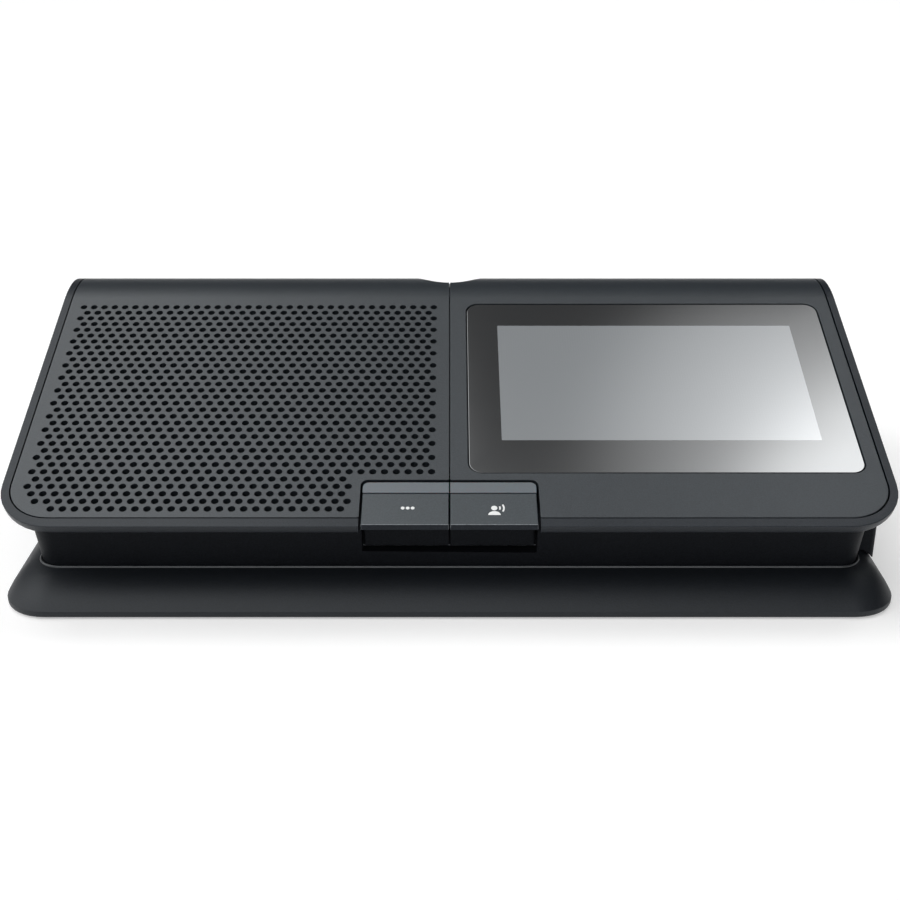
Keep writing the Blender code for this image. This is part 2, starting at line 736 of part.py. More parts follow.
def speaker_frame(finish):
    wall = SPEAKER_BASKET_WALL
    flange = SPEAKER_FLANGE_THICKNESS
    mouth = SPEAKER_HOLE_DIAMETER / 2 - wall
    neck = SPEAKER_NECK_DIAMETER / 2
    profile = [
        (mouth, 0.0),
        (SPEAKER_FLANGE_DIAMETER / 2, 0.0),
        (SPEAKER_FLANGE_DIAMETER / 2, -flange),
        (mouth + wall, -flange),
        (mouth + wall, -flange * 2),
        (neck + wall, -SPEAKER_BASKET_DEPTH),
        (neck - wall, -SPEAKER_BASKET_DEPTH),
        (neck - wall, -SPEAKER_BASKET_DEPTH + wall),
        (neck, -SPEAKER_BASKET_DEPTH + wall),
        (mouth, -flange * 2),
    ]
    frame = turned("speaker_frame", profile, finish, FINE_SEGMENTS, ring=True)
    frame.matrix_world = speaker_place(FLOOR_UNDERSIDE)
    return frame


def speaker_cone(finish):
    """Cone and dust cap as one thin turned shell, its rim just inside the basket's mouth."""
    rim = SPEAKER_HOLE_DIAMETER / 2 - SPEAKER_BASKET_WALL - FIT_GAP
    throat = DUST_CAP_DIAMETER / 2
    upper = [
        (0.0, -CONE_DEPTH + DUST_CAP_RISE),
        (throat * DUST_CAP_SHARE, -CONE_DEPTH + DUST_CAP_RISE * DUST_CAP_SHARE),
        (throat, -CONE_DEPTH),
        (rim - CONE_ROLL_WIDTH, -CONE_THICKNESS * 2),
        (rim - CONE_ROLL_WIDTH / 2, 0.0),
        (rim, -CONE_THICKNESS),
    ]
    lower = [(radius, height - CONE_THICKNESS) for radius, height in reversed(upper)]
    cone = turned("speaker_cone", upper + lower, finish, FINE_SEGMENTS)
    cone.matrix_world = speaker_place(FLOOR_UNDERSIDE)
    return cone


def speaker_magnet(finish):
    radius = SPEAKER_MAGNET_DIAMETER / 2
    edge = SPEAKER_BASKET_WALL / 2
    profile = [
        (0.0, 0.0),
        (radius - edge, 0.0),
        (radius, -edge),
        (radius, -SPEAKER_MAGNET_HEIGHT + edge),
        (radius - edge, -SPEAKER_MAGNET_HEIGHT),
        (0.0, -SPEAKER_MAGNET_HEIGHT),
    ]
    magnet = turned("speaker_magnet", profile, finish)
    magnet.matrix_world = speaker_place(FLOOR_UNDERSIDE + SPEAKER_BASKET_DEPTH + FIT_GAP)
    return magnet


# Keys


def neck_front(height):
    """Setback of the neck's front wall at a height, measured from the covers' front edge."""
    share = (height - FOOT_LINE_HEIGHT) / (NECK_SHOULDER_HEIGHT - FOOT_LINE_HEIGHT)
    return NECK_FOOT_SETBACK + (NECK_SHOULDER_SETBACK - NECK_FOOT_SETBACK) * min(share, 1.0)


def in_cover_frame(setback, height):
    """Position (s, n) in the cover frame of a world point given by setback and height."""
    local = COVER_FRAME.inverted() @ Vector((0, SEAM_Y + setback, height))
    return local.y, local.z


def key_profile():
    """Side outline of a key in the cover frame: cap with a front lip, skirt and rear tongue."""
    foot_height = KEY_LEDGE_HEIGHT + KEY_TRAVEL + KEY_STOP_GAP
    foot = neck_front(foot_height) + SKIRT_SETBACK
    top_height = SEAM_HEIGHT - KEY_CAP_THICKNESS
    top = neck_front(top_height) + SKIRT_SETBACK + SKIRT_THICKNESS
    lip_drop = KEY_LIP_HEIGHT * math.cos(FRONT_SLOPE)
    lip_lead = KEY_LIP_HEIGHT * math.sin(FRONT_SLOPE)
    return [
        (-KEY_OVERHANG, 0.0),
        (-KEY_OVERHANG - lip_lead, -lip_drop),
        (-KEY_OVERHANG - lip_lead + KEY_LIP_DEPTH, -KEY_CAP_THICKNESS),
        in_cover_frame(top, top_height),
        in_cover_frame(foot, foot_height),
        in_cover_frame(foot + SKIRT_THICKNESS, foot_height),
        in_cover_frame(top + SKIRT_THICKNESS, SEAM_HEIGHT - TONGUE_BOTTOM + KEY_GAP),
        (KEY_REAR - TONGUE_THICKNESS, -TONGUE_BOTTOM),
        (TONGUE_END, -TONGUE_BOTTOM),
        (TONGUE_END, -TONGUE_TOP),
        (KEY_REAR, -TONGUE_TOP),
        (KEY_REAR, -LIGHT_THICKNESS - FIT_GAP),
        (KEY_REAR - LIGHT_DEPTH - FIT_GAP, -LIGHT_THICKNESS - FIT_GAP),
        (KEY_REAR - LIGHT_DEPTH - FIT_GAP, 0.0),
    ]


def key_frame(side):
    """Frame of a key: on the top surface, over the middle of its cap."""
    middle = side * (KEY_INNER + KEY_WIDTH / 2)
    return COVER_FRAME @ Matrix.Translation((middle, KEY_REAR / 2, 0))


def key(name, side, finish):
    outline = [(s - KEY_REAR / 2, n) for s, n in key_profile()]
    rings = [[(across, s, n) for s, n in outline] for across in (-KEY_WIDTH / 2, KEY_WIDTH / 2)]
    item = add_object(name, loft_mesh(name, rings), PARTS, finish)
    item.matrix_world = key_frame(side)
    return item


def key_light(name, side, finish):
    """Bar along the rear of a key, with its outer rear corner rounded."""
    half = side * KEY_WIDTH / 2
    front, rear = KEY_REAR / 2 - LIGHT_DEPTH, KEY_REAR / 2
    corners = [
        (-half, front, LIGHT_EDGE_ROUND),
        (half, front, LIGHT_EDGE_ROUND),
        (half, rear, LIGHT_CORNER_RADIUS),
        (-half, rear, LIGHT_EDGE_ROUND),
    ]
    mesh = outline_mesh(name, [filleted(corners, LIGHT_CORNER_STEPS)], -LIGHT_THICKNESS, 0)
    item = add_object(name, mesh, PARTS, finish)
    edge_bevel(item, LIGHT_EDGE_ROUND)
    item.matrix_world = key_frame(side)
    return item


def key_board(finish):
    half = KEY_FIELD_HALF - KEY_BOARD_EDGE
    rear = KEY_BOARD_FRONT + KEY_BOARD_LENGTH
    mesh = block_mesh("key_board", (-half, KEY_BOARD_FRONT, -KEY_BOARD_BOTTOM),
                      (half, rear, -KEY_BOARD_TOP))
    board = add_object("key_board", mesh, PARTS, finish)
    board.matrix_world = COVER_FRAME
    return board


def key_switch(name, side, finish):
    """Tactile switch under a key's tongue: a square body and a round plunger."""
    half = SWITCH_SIZE / 2
    body = SWITCH_HEIGHT * SWITCH_BODY_SHARE
    item = add_object(name, block_mesh(name, (-half, -half, 0), (half, half, body)), PARTS, finish)
    plunger = cylinder_mesh(name + "_plunger", SWITCH_PLUNGER_DIAMETER, body / 2, SWITCH_HEIGHT,
                            segments=SMALL_SEGMENTS)
    along = (KEY_REAR + TONGUE_END) / 2
    place = COVER_FRAME @ Matrix.Translation((side * (KEY_INNER + KEY_WIDTH / 2), along,
                                              -SWITCH_TOP - SWITCH_HEIGHT))
    item.matrix_world = place
    combine(item, plunger, "UNION", place)
    return item


# Neck


def neck_ring(height, half_width, front, offset):
    outline = rectangle(-half_width - offset, half_width + offset,
                        SEAM_Y + front - offset, SEAM_Y + NECK_REAR + offset,
                        NECK_CORNER_RADIUS + offset)
    return [(point[0], point[1], height) for point in outline]


def neck_mesh(name, offset=0.0, drop=0.0):
    """Neck's outer form moved outwards by an offset, its foot lowered by a drop."""
    lean = (NECK_SHOULDER_HALF_WIDTH - NECK_FOOT_HALF_WIDTH) / (NECK_SHOULDER_HEIGHT - FOOT_LINE_HEIGHT)
    low = FOOT_LINE_HEIGHT - drop
    rings = [
        neck_ring(low, NECK_FOOT_HALF_WIDTH - drop * lean, neck_front(low), offset),
        neck_ring(NECK_SHOULDER_HEIGHT, NECK_SHOULDER_HALF_WIDTH, NECK_SHOULDER_SETBACK, offset),
        neck_ring(ROUGH_TOP, NECK_SHOULDER_HALF_WIDTH, NECK_SHOULDER_SETBACK, offset),
    ]
    return loft_mesh(name, rings)


def screw_places():
    across = NECK_FOOT_HALF_WIDTH - SCREW_INSET
    front = SEAM_Y + NECK_FOOT_SETBACK + SCREW_INSET
    rear = SEAM_Y + NECK_REAR - SCREW_INSET
    return [(-across, front), (across, front), (-across, rear), (across, rear)]


def port_places():
    """World corners, low and high, of the two network ports' shells."""
    boxes = []
    for side in (-1, 1):
        centre = side * PORT_SPACING / 2
        low = (centre - PORT_WIDTH / 2, SEAM_Y + NECK_REAR - PORT_LENGTH, BOARD_TOP + FIT_GAP)
        high = (centre + PORT_WIDTH / 2, SEAM_Y + NECK_REAR, BOARD_TOP + FIT_GAP + PORT_HEIGHT)
        boxes.append((Vector(low), Vector(high)))
    return boxes


def jack_frame():
    """Frame of the headphone jack: on the neck's left wall, its Z axis pointing out."""
    share = (JACK_HEIGHT - FOOT_LINE_HEIGHT) / (NECK_SHOULDER_HEIGHT - FOOT_LINE_HEIGHT)
    wall = NECK_FOOT_HALF_WIDTH + (NECK_SHOULDER_HALF_WIDTH - NECK_FOOT_HALF_WIDTH) * share
    place = Matrix.Translation((-wall, SEAM_Y + JACK_SETBACK, JACK_HEIGHT))
    return place @ Matrix.Rotation(-math.pi / 2, 4, "Y")


def card_slot_mesh(name):
    front = SEAM_Y + READER_SETBACK + (READER_LENGTH - CARD_SLOT_LENGTH) / 2
    low = (NECK_FOOT_HALF_WIDTH - CARD_SLOT_DEPTH, front, CARD_SLOT_RISE)
    high = (READER_REACH + CUT_OVERRUN, front + CARD_SLOT_LENGTH, CARD_SLOT_RISE + CARD_SLOT_HEIGHT)
    return block_mesh(name, low, high)


def key_block_mesh(name):
    """Block behind the neck's front wall that the key pocket and the key board's seat are cut in."""
    low = FOOT_LINE_HEIGHT + FIT_GAP
    inside = NECK_WALL / 2
    rear = SEAM_Y + NECK_FOOT_SETBACK + KEY_BLOCK_DEPTH
    outline = [
        (SEAM_Y + neck_front(low) + inside, low),
        (rear, low),
        (rear, SEAM_HEIGHT),
        (SEAM_Y + NECK_SHOULDER_SETBACK + inside, SEAM_HEIGHT),
    ]
    half = KEY_FIELD_HALF + KEY_BLOCK_WALL
    return loft_mesh(name, [[(side, y, z) for y, z in outline] for side in (-half, half)])


def lower_housing(finish):
    housing = add_object("lower_housing", neck_mesh("lower_housing"), PARTS, finish, smooth=True)
    combine(housing, neck_mesh("neck_hollow", -NECK_WALL, CUT_OVERRUN))
    combine(housing, key_block_mesh("key_block"), "UNION")
    for index, (x, y) in enumerate(screw_places()):
        post = cylinder_mesh("screw_post_%d" % index, SCREW_POST_DIAMETER,
                             FOOT_LINE_HEIGHT + FIT_GAP, FOOT_LINE_HEIGHT + SCREW_POST_HEIGHT,
                             (x, y), SMALL_SEGMENTS)
        combine(housing, post, "UNION")
    combine(housing, over_tray_mesh("over_housing"))
    half = KEY_FIELD_HALF
    pocket_rear = SEAM_Y + NECK_FOOT_SETBACK + KEY_POCKET_DEPTH
    combine(housing, block_mesh("key_pocket", (-half, SEAM_Y - CUT_OVERRUN, KEY_LEDGE_HEIGHT),
                                (half, pocket_rear, ROUGH_TOP)))
    combine(housing, block_mesh("board_seat", (-half, 0, -KEY_BOARD_BOTTOM - FIT_GAP),
                                (half, KEY_BOARD_FRONT + KEY_BOARD_LENGTH + KEY_GAP, SEAM_HEIGHT)),
            frame=COVER_FRAME)
    for index, (low, high) in enumerate(port_places()):
        gap = Vector((FIT_GAP, FIT_GAP, FIT_GAP))
        notch = low - gap
        notch.z = FOOT_LINE_HEIGHT - CUT_OVERRUN
        reach = Vector((0, CUT_OVERRUN, 0))
        combine(housing, block_mesh("port_notch_%d" % index, notch, high + gap + reach))
    combine(housing, cylinder_mesh("jack_hole", JACK_DIAMETER + FIT_GAP * 2, -JACK_LENGTH,
                                   CUT_OVERRUN), frame=jack_frame())
    combine(housing, card_slot_mesh("housing_slot"))
    for index, (x, y) in enumerate(screw_places()):
        hole = cylinder_mesh("screw_hole_%d" % index, SCREW_SHANK_DIAMETER + FIT_GAP * 2,
                             FOOT_LINE_HEIGHT - CUT_OVERRUN, FOOT_LINE_HEIGHT + SCREW_LENGTH,
                             (x, y), SMALL_SEGMENTS)
        combine(housing, hole)
    return housing


# Base pan


def base_outline(share, offset=0.0):
    """Plan outline between the neck's foot (share 0) and the pan's outer edge (share 1)."""
    bead = FIT_GAP + BEAD_WIDTH
    half = (NECK_FOOT_HALF_WIDTH + bead) * (1 - share) + BASE_WIDTH / 2 * share + offset
    front = (NECK_FOOT_SETBACK - bead) * (1 - share) - BASE_FRONT_LEAD * share - offset
    rear = (NECK_REAR + bead) * (1 - share) + BASE_REAR * share + offset
    radius = (NECK_CORNER_RADIUS + bead) * (1 - share) + BASE_CORNER_RADIUS * share + offset
    return rectangle(-half, half, SEAM_Y + front, SEAM_Y + rear, radius)


def flare_height(share, clearance=0.0):
    """Height of the pan's top at a share of the way out: a shoulder that falls off to the edge."""
    edge = BASE_LIFT + BASE_EDGE_HEIGHT
    return FOOT_LINE_HEIGHT - (FOOT_LINE_HEIGHT - edge) * share ** FLARE_POWER_SHARE + clearance


def base_rings(clearance=0.0):
    """Rings from the pan's underside up its edge and flare to the foot of the neck."""
    sections = [
        (1.0, clearance - BASE_EDGE_CHAMFER, BASE_LIFT),
        (1.0, clearance, BASE_LIFT + BASE_EDGE_CHAMFER),
    ]
    rings = []
    for share, offset, height in sections:
        rings.append([(point[0], point[1], height) for point in base_outline(share, offset)])
    for step in range(FLARE_STEPS, -1, -1):
        share = step / FLARE_STEPS
        height = flare_height(share, clearance)
        rings.append([(point[0], point[1], height) for point in base_outline(share, clearance)])
    bead_top = FOOT_LINE_HEIGHT + BEAD_RISE + clearance
    outline = base_outline(0.0, clearance - BEAD_WIDTH * BEAD_ROUND_SHARE)
    rings.append([(point[0], point[1], bead_top) for point in outline])
    return rings


def base_pan(finish):
    land = FOOT_LINE_HEIGHT - FIT_GAP
    rings = base_rings()
    inner = [
        (-BEAD_WIDTH * (1 - BEAD_ROUND_SHARE), FOOT_LINE_HEIGHT + BEAD_RISE),
        (-BEAD_WIDTH, land),
        (-BEAD_WIDTH - FIT_GAP - PAN_WALL, land),
        (-BEAD_WIDTH - FIT_GAP - PAN_WALL, FLOOR_TOP),
    ]
    for offset, height in inner:
        rings.append([(point[0], point[1], height) for point in base_outline(0.0, offset)])
    pan = add_object("base_pan", loft_mesh("base_pan", rings), PARTS, finish, smooth=True)
    for index, (x, y) in enumerate(board_post_places()):
        post = cylinder_mesh("board_post_%d" % index, BOARD_POST_DIAMETER, BASE_LIFT + PAN_FLOOR / 2,
                             BOARD_LIFT - FIT_GAP, (x, y), SMALL_SEGMENTS)
        combine(pan, post, "UNION")
    for index, (x, y) in enumerate(screw_places()):
        seat = cylinder_mesh("pan_post_%d" % index, SCREW_POST_DIAMETER, BASE_LIFT + PAN_FLOOR / 2,
                             land - FIT_GAP, (x, y), SMALL_SEGMENTS)
        combine(pan, seat, "UNION")
        bore = cylinder_mesh("pan_bore_%d" % index, SCREW_SHANK_DIAMETER + FIT_GAP * 2, 0,
                             FOOT_LINE_HEIGHT + CUT_OVERRUN, (x, y), SMALL_SEGMENTS)
        combine(pan, bore)
        sink = cylinder_mesh("pan_sink_%d" % index, SCREW_HEAD_DIAMETER + FIT_GAP * 2, -CUT_OVERRUN,
                             BASE_LIFT + SCREW_SEAT_HEIGHT, (x, y), ROUND_SEGMENTS)
        combine(pan, sink)
    for index, (x, y) in enumerate(foot_places()):
        seat = cylinder_mesh("foot_seat_%d" % index, FOOT_DIAMETER + FIT_GAP * 2, -CUT_OVERRUN,
                             FOOT_THICKNESS + FIT_GAP, (x, y))
        combine(pan, seat)
    return pan


def base_screw(name, place, finish):
    """Pan-head screw, head downwards, with a round drive recess."""
    head = SCREW_HEAD_DIAMETER / 2
    shank = SCREW_SHANK_DIAMETER / 2
    drive = DRIVE_DIAMETER / 2
    profile = [
        (0.0, SCREW_LENGTH),
        (shank / 2, SCREW_LENGTH),
        (shank, SCREW_LENGTH - shank),
        (shank, 0.0),
        (head, 0.0),
        (head, -SCREW_HEAD_HEIGHT * SCREW_RIM_SHARE),
        (head * SCREW_FACE_SHARE, -SCREW_HEAD_HEIGHT),
        (drive, -SCREW_HEAD_HEIGHT),
        (drive, -SCREW_HEAD_HEIGHT + DRIVE_DEPTH),
        (0.0, -SCREW_HEAD_HEIGHT + DRIVE_DEPTH),
    ]
    screw = turned(name, profile, finish, SMALL_SEGMENTS)
    screw.location = (*place, BASE_LIFT + SCREW_SEAT_HEIGHT - FIT_GAP)
    return screw


def foot_places():
    across = BASE_WIDTH / 2 - FOOT_INSET
    front = SEAM_Y - BASE_FRONT_LEAD + FOOT_END_INSET
    rear = SEAM_Y + BASE_REAR - FOOT_END_INSET
    return [(-across, front), (across, front), (-across, rear), (across, rear)]


def foot(name, place, finish):
    radius = FOOT_DIAMETER / 2
    edge = BASE_LIFT
    profile = [
        (0.0, FOOT_THICKNESS),
        (radius, FOOT_THICKNESS),
        (radius, edge),
        (radius - edge, 0.0),
        (0.0, 0.0),
    ]
    pad = turned(name, profile, finish)
    pad.location = (*place, 0)
    return pad


# Main board


def board_rear():
    return SEAM_Y + NECK_REAR - NECK_WALL - BOARD_REAR_SETBACK


def board_post_places():
    across = BOARD_WIDTH / 2 - BOARD_POST_INSET
    front = board_rear() - BOARD_LENGTH + BOARD_POST_INSET
    rear = board_rear() - BOARD_POST_INSET
    return [(-across, front), (across, front), (-across, rear), (across, rear)]


def main_board(finish):
    mesh = block_mesh("main_board", (-BOARD_WIDTH / 2, board_rear() - BOARD_LENGTH, BOARD_LIFT),
                      (BOARD_WIDTH / 2, board_rear(), BOARD_TOP))
    return add_object("main_board", mesh, PARTS, finish)


# Sockets


def microphone_socket(finish):
    outer = SOCKET_RECESS_DIAMETER / 2 - FIT_GAP
    bore = SOCKET_BORE_DIAMETER / 2
    profile = [
        (0.0, -SOCKET_BORE_DEPTH),
        (bore, -SOCKET_BORE_DEPTH),
        (bore, -SOCKET_EDGE),
        (bore + SOCKET_EDGE, 0.0),
        (outer, 0.0),
        (outer, -SOCKET_LENGTH),
        (0.0, -SOCKET_LENGTH),
    ]
    socket = turned("microphone_socket", profile, finish, FINE_SEGMENTS)
    socket.matrix_world = socket_frame() @ Matrix.Translation((0, 0, -SOCKET_RECESS_DEPTH))
    return socket


def socket_contacts(finish):
    radius = SOCKET_BORE_DIAMETER / 2 - FIT_GAP
    low = -SOCKET_RECESS_DEPTH - SOCKET_BORE_DEPTH + FIT_GAP
    high = low + CONTACT_DISC_THICKNESS
    disc = add_object("socket_contacts", cylinder_mesh("socket_contacts", radius * 2, low, high),
                      PARTS, finish)
    disc.matrix_world = socket_frame()
    for index in range(CONTACT_PINS):
        turn = 2 * math.pi * index / CONTACT_PINS
        centre = (CONTACT_PIN_CIRCLE / 2 * math.sin(turn), CONTACT_PIN_CIRCLE / 2 * math.cos(turn))
        pin = cylinder_mesh("contact_pin_%d" % index, CONTACT_PIN_DIAMETER,
                            (low + high) / 2, high + CONTACT_PIN_HEIGHT, centre, SMALL_SEGMENTS)
        combine(disc, pin, "UNION", socket_frame())
    return disc


def network_port(name, box, finish):
    """Shielded jack with a mouth at the rear and a notch for the plug's latch."""
    low, high = box
    port = add_object(name, block_mesh(name, low, high), PARTS, finish)
    centre = (low.x + high.x) / 2
    half = PORT_MOUTH_WIDTH / 2
    floor = low.z + PORT_MOUTH_RISE
    mouth = block_mesh(name + "_mouth", (centre - half, high.y - PORT_MOUTH_DEPTH, floor),
                       (centre + half, high.y + CUT_OVERRUN, floor + PORT_MOUTH_HEIGHT))
    combine(port, mouth)
    half = PORT_LATCH_WIDTH / 2
    top = floor + PORT_MOUTH_HEIGHT
    latch = block_mesh(name + "_latch", (centre - half, high.y - PORT_MOUTH_DEPTH, top - PORT_LATCH_HEIGHT),
                       (centre + half, high.y + CUT_OVERRUN, top + PORT_LATCH_HEIGHT))
    combine(port, latch)
    return port


def headphone_jack(finish):
    radius = JACK_DIAMETER / 2
    bore = JACK_BORE_DIAMETER / 2
    profile = [
        (0.0, -JACK_BORE_DEPTH),
        (bore, -JACK_BORE_DEPTH),
        (bore, 0.0),
        (radius, 0.0),
        (radius, -JACK_LENGTH),
        (0.0, -JACK_LENGTH),
    ]
    jack = turned("headphone_jack", profile, finish)
    jack.matrix_world = jack_frame()
    return jack


# Card reader


def card_reader(finish):
    """Upright housing on the neck's right wall, under the tray, with a slot in its outer face."""
    inner = NECK_FOOT_HALF_WIDTH - NECK_WALL
    corners = [
        (inner, SEAM_Y + READER_SETBACK, READER_CORNER_RADIUS),
        (READER_REACH, SEAM_Y + READER_SETBACK, READER_CORNER_RADIUS),
        (READER_REACH, SEAM_Y + READER_SETBACK + READER_LENGTH, READER_CORNER_RADIUS),
        (inner, SEAM_Y + READER_SETBACK + READER_LENGTH, READER_CORNER_RADIUS),
    ]
    mesh = outline_mesh("card_reader", [filleted(corners)], BASE_LIFT + BASE_EDGE_HEIGHT,
                        ROUGH_TOP - CUT_OVERRUN)
    reader = add_object("card_reader", mesh, PARTS, finish, smooth=True)
    combine(reader, neck_mesh("reader_neck", FIT_GAP, CUT_OVERRUN * 2))
    combine(reader, loft_mesh("reader_base", base_rings(FIT_GAP)))
    combine(reader, over_tray_mesh("over_reader"))
    combine(reader, card_slot_mesh("reader_slot"))
    return reader


# Assembly


def build():
    cover_plastic = material("cover_plastic", "6A6B6D", 0.55)
    tray_plastic = material("tray_plastic", "4A4B4E", 0.5)
    neck_plastic = material("neck_plastic", "2B2C2F", 0.55)
    base_plastic = material("base_plastic", "3E4043", 0.5)
    key_plastic = material("key_plastic", "5C5D60", 0.5)
    lens_plastic = material("lens_plastic", "9A9B9D", 0.35)
    glass = material("glass", "2A2C30", 0.08)
    screen = material("screen", "8E9194", 0.3)
    cloth = material("cloth", "101012", 0.95)
    cone_paper = material("cone_paper", "1B1B1D", 0.8)
    pressed_steel = material("pressed_steel", "8C8F93", 0.35, 1.0)
    ferrite = material("ferrite", "303236", 0.6)
    board_laminate = material("board_laminate", "1E4A33", 0.6)
    switch_plastic = material("switch_plastic", "1A1A1C", 0.5)
    contact_brass = material("contact_brass", "B99B5A", 0.3, 1.0)
    screw_steel = material("screw_steel", "5E6165", 0.35, 1.0)
    rubber = material("rubber", "161617", 0.85)
    socket_plastic = material("socket_plastic", "202124", 0.45)

    base_pan(base_plastic)
    lower_housing(neck_plastic)
    body_tray(tray_plastic)
    rear_cover(tray_plastic)
    grille_cover(cover_plastic)
    display_cover(cover_plastic)
    acoustic_cloth(cloth)
    display_glass(glass)
    display_panel(screen)
    speaker_frame(pressed_steel)
    speaker_cone(cone_paper)
    speaker_magnet(ferrite)
    key_board(board_laminate)
    for word, side in (("menu", -1), ("speak", 1)):
        key(word + "_key", side, key_plastic)
        key_light(word + "_light", side, lens_plastic)
        key_switch(word + "_switch", side, switch_plastic)
    main_board(board_laminate)
    microphone_socket(socket_plastic)
    socket_contacts(contact_brass)
    for index, box in enumerate(port_places()):
        network_port("network_port_%d" % (index + 1), box, pressed_steel)
    headphone_jack(socket_plastic)
    card_reader(neck_plastic)
    for index, place in enumerate(screw_places()):
        base_screw("base_screw_%d" % (index + 1), place, screw_steel)
    for index, place in enumerate(foot_places()):
        foot("foot_%d" % (index + 1), place, rubber)


build()
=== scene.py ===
"""Looks of a conference delegate unit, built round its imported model.

The top pieces are drawn flat, as u across, s along the top line from the covers' front edge and n
above the surface, and are then bent over the crest. All sizes are in metres.
"""

import math

import bmesh
import bpy
from mathutils import Matrix, Vector


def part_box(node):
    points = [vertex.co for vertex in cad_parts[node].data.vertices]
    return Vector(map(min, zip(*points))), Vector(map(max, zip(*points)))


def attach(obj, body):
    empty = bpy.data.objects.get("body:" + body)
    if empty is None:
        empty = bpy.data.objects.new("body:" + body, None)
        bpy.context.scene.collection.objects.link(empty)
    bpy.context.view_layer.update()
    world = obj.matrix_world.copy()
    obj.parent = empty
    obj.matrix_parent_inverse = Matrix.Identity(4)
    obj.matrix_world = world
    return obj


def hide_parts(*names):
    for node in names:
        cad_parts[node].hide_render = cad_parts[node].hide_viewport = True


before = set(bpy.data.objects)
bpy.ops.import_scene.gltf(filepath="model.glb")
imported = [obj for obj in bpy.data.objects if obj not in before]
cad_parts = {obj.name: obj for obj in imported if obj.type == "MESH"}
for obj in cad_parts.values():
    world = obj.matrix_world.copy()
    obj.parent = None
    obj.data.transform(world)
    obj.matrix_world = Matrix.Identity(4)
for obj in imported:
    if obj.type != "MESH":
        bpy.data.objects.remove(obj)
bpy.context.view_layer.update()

bl_info = {
    "name": "Conference delegate unit",
    "version": (1, 0, 0),
    "blender": (4, 5, 0),
    "location": "3D View > Sidebar > Delegate unit",
    "description": "Dresses a packed conference delegate unit with detailed pieces and finishes",
    "category": "Add Mesh",
}

# Top line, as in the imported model
SEAM_GAP = 0.0003
SEAM_Y = -0.070768
SEAM_HEIGHT = 0.031
FRONT_SLOPE = math.radians(21.2)
REAR_SLOPE = math.radians(62.0)
SLOPE_LENGTH = 0.0994
CREST_FRONT_RADIUS = 0.036
CREST_REAR_RADIUS = 0.022
REAR_LENGTH = 0.035
CREST_TOP = SLOPE_LENGTH + CREST_FRONT_RADIUS * FRONT_SLOPE
CREST_END = CREST_TOP + CREST_REAR_RADIUS * REAR_SLOPE
TOP_LINE_END = CREST_END + REAR_LENGTH
SPLIT_SLOPE = math.radians(29.4)
COVER_SPLIT = CREST_TOP + CREST_REAR_RADIUS * SPLIT_SLOPE
TRAY_END = COVER_SPLIT + SEAM_GAP
REAR_COVER_START = TRAY_END + SEAM_GAP
CREST_FRONT_STEPS = 9
CREST_REAR_STEPS = 26

# Tray and covers
TRAY_HALF = 0.12825
COVER_HALF = 0.12555
TRAY_FRONT = -0.0034
TRAY_THICKNESS = 0.0054
RECESS_DEPTH = 0.0029
RIM_CORNER_RADIUS = 0.0164
COVER_CORNER_RADIUS = 0.0128
REAR_CORNER_RADIUS = 0.009
RIM_SECTION = ((0.0003, 0.0), (0.0001, -0.0001), (0.0, -0.0004), (0.0003, -0.0025), (0.0006, -0.0031),
               (0.0014, -0.0037), (0.003, -0.0054))  # inset, height
SEAM_SHADOW = 0.00012  # by which the covers are drawn in, so that the line round them shows
RIB_HALF = 0.00012
RIB_DROP = 0.0004
RIB_REACH = 0.012
SMALL_RADIUS = 0.0005
CUT_RADIUS = 0.0001
GRILLE_THICKNESS = 0.002
SURROUND_THICKNESS = 0.0026

# Perforated field of the left cover
HOLE_ROWS = 32
ROW_HOLES = 35
REAR_ROW = 0.0952
FIRST_HOLE = -0.12095
HOLE_SHIFT = Vector((0.00015, -0.0004))
HOLE_CLEARANCE = 0.0036
HOLE_CORNER = 0.0113
HOLE_NOTCH = 0.0181

# Keys
KEY_FIELD_HALF = 0.025475
KEY_FIELD_REAR = 0.01485
KEY_NOTCH_RADIUS = 0.0022
KEY_CENTRE = 0.012475
KEY_HALF = 0.0123
KEY_REAR = 0.0138
KEY_CORNER_RADIUS = 0.0018
KEY_OPENING_REAR = 0.023
KEY_LIP_DROP = 0.0018
KEY_LEDGE_HEIGHT = 0.01465
LEDGE_ROUND = 0.00025
LIGHT_LENGTH = 0.0041
LIGHT_THICKNESS = 0.0014
LIGHT_EDGE = 0.00006
INK_THICKNESS = 0.00006
INK_PROUD = 0.8  # share of the ink's thickness that stands above the key's top

# Display
GLASS_LOW = Vector((0.0057, 0.0179))
GLASS_HIGH = Vector((0.1209, 0.0965))
GLASS_CORNER_RADIUS = 0.004
GLASS_RECESS = 0.0002
GLASS_THICKNESS = 0.002
GLASS_GAP = 0.0003
GLASS_ROUND = 0.0002
PANEL_INSET = Vector((0.0056, 0.0083))

# Loudspeaker opening
SPEAKER_CENTRE = (-0.064, 0.051)
SPEAKER_OPENING = 0.058

# Microphone socket
SOCKET_TILT = math.radians(28.0)
SOCKET_RECESS = 0.024
SOCKET_DEPTH = 0.005
SOCKET_BORE = 0.0132
SCOOP_BELOW = 0.03
SCOOP_ABOVE = 0.016

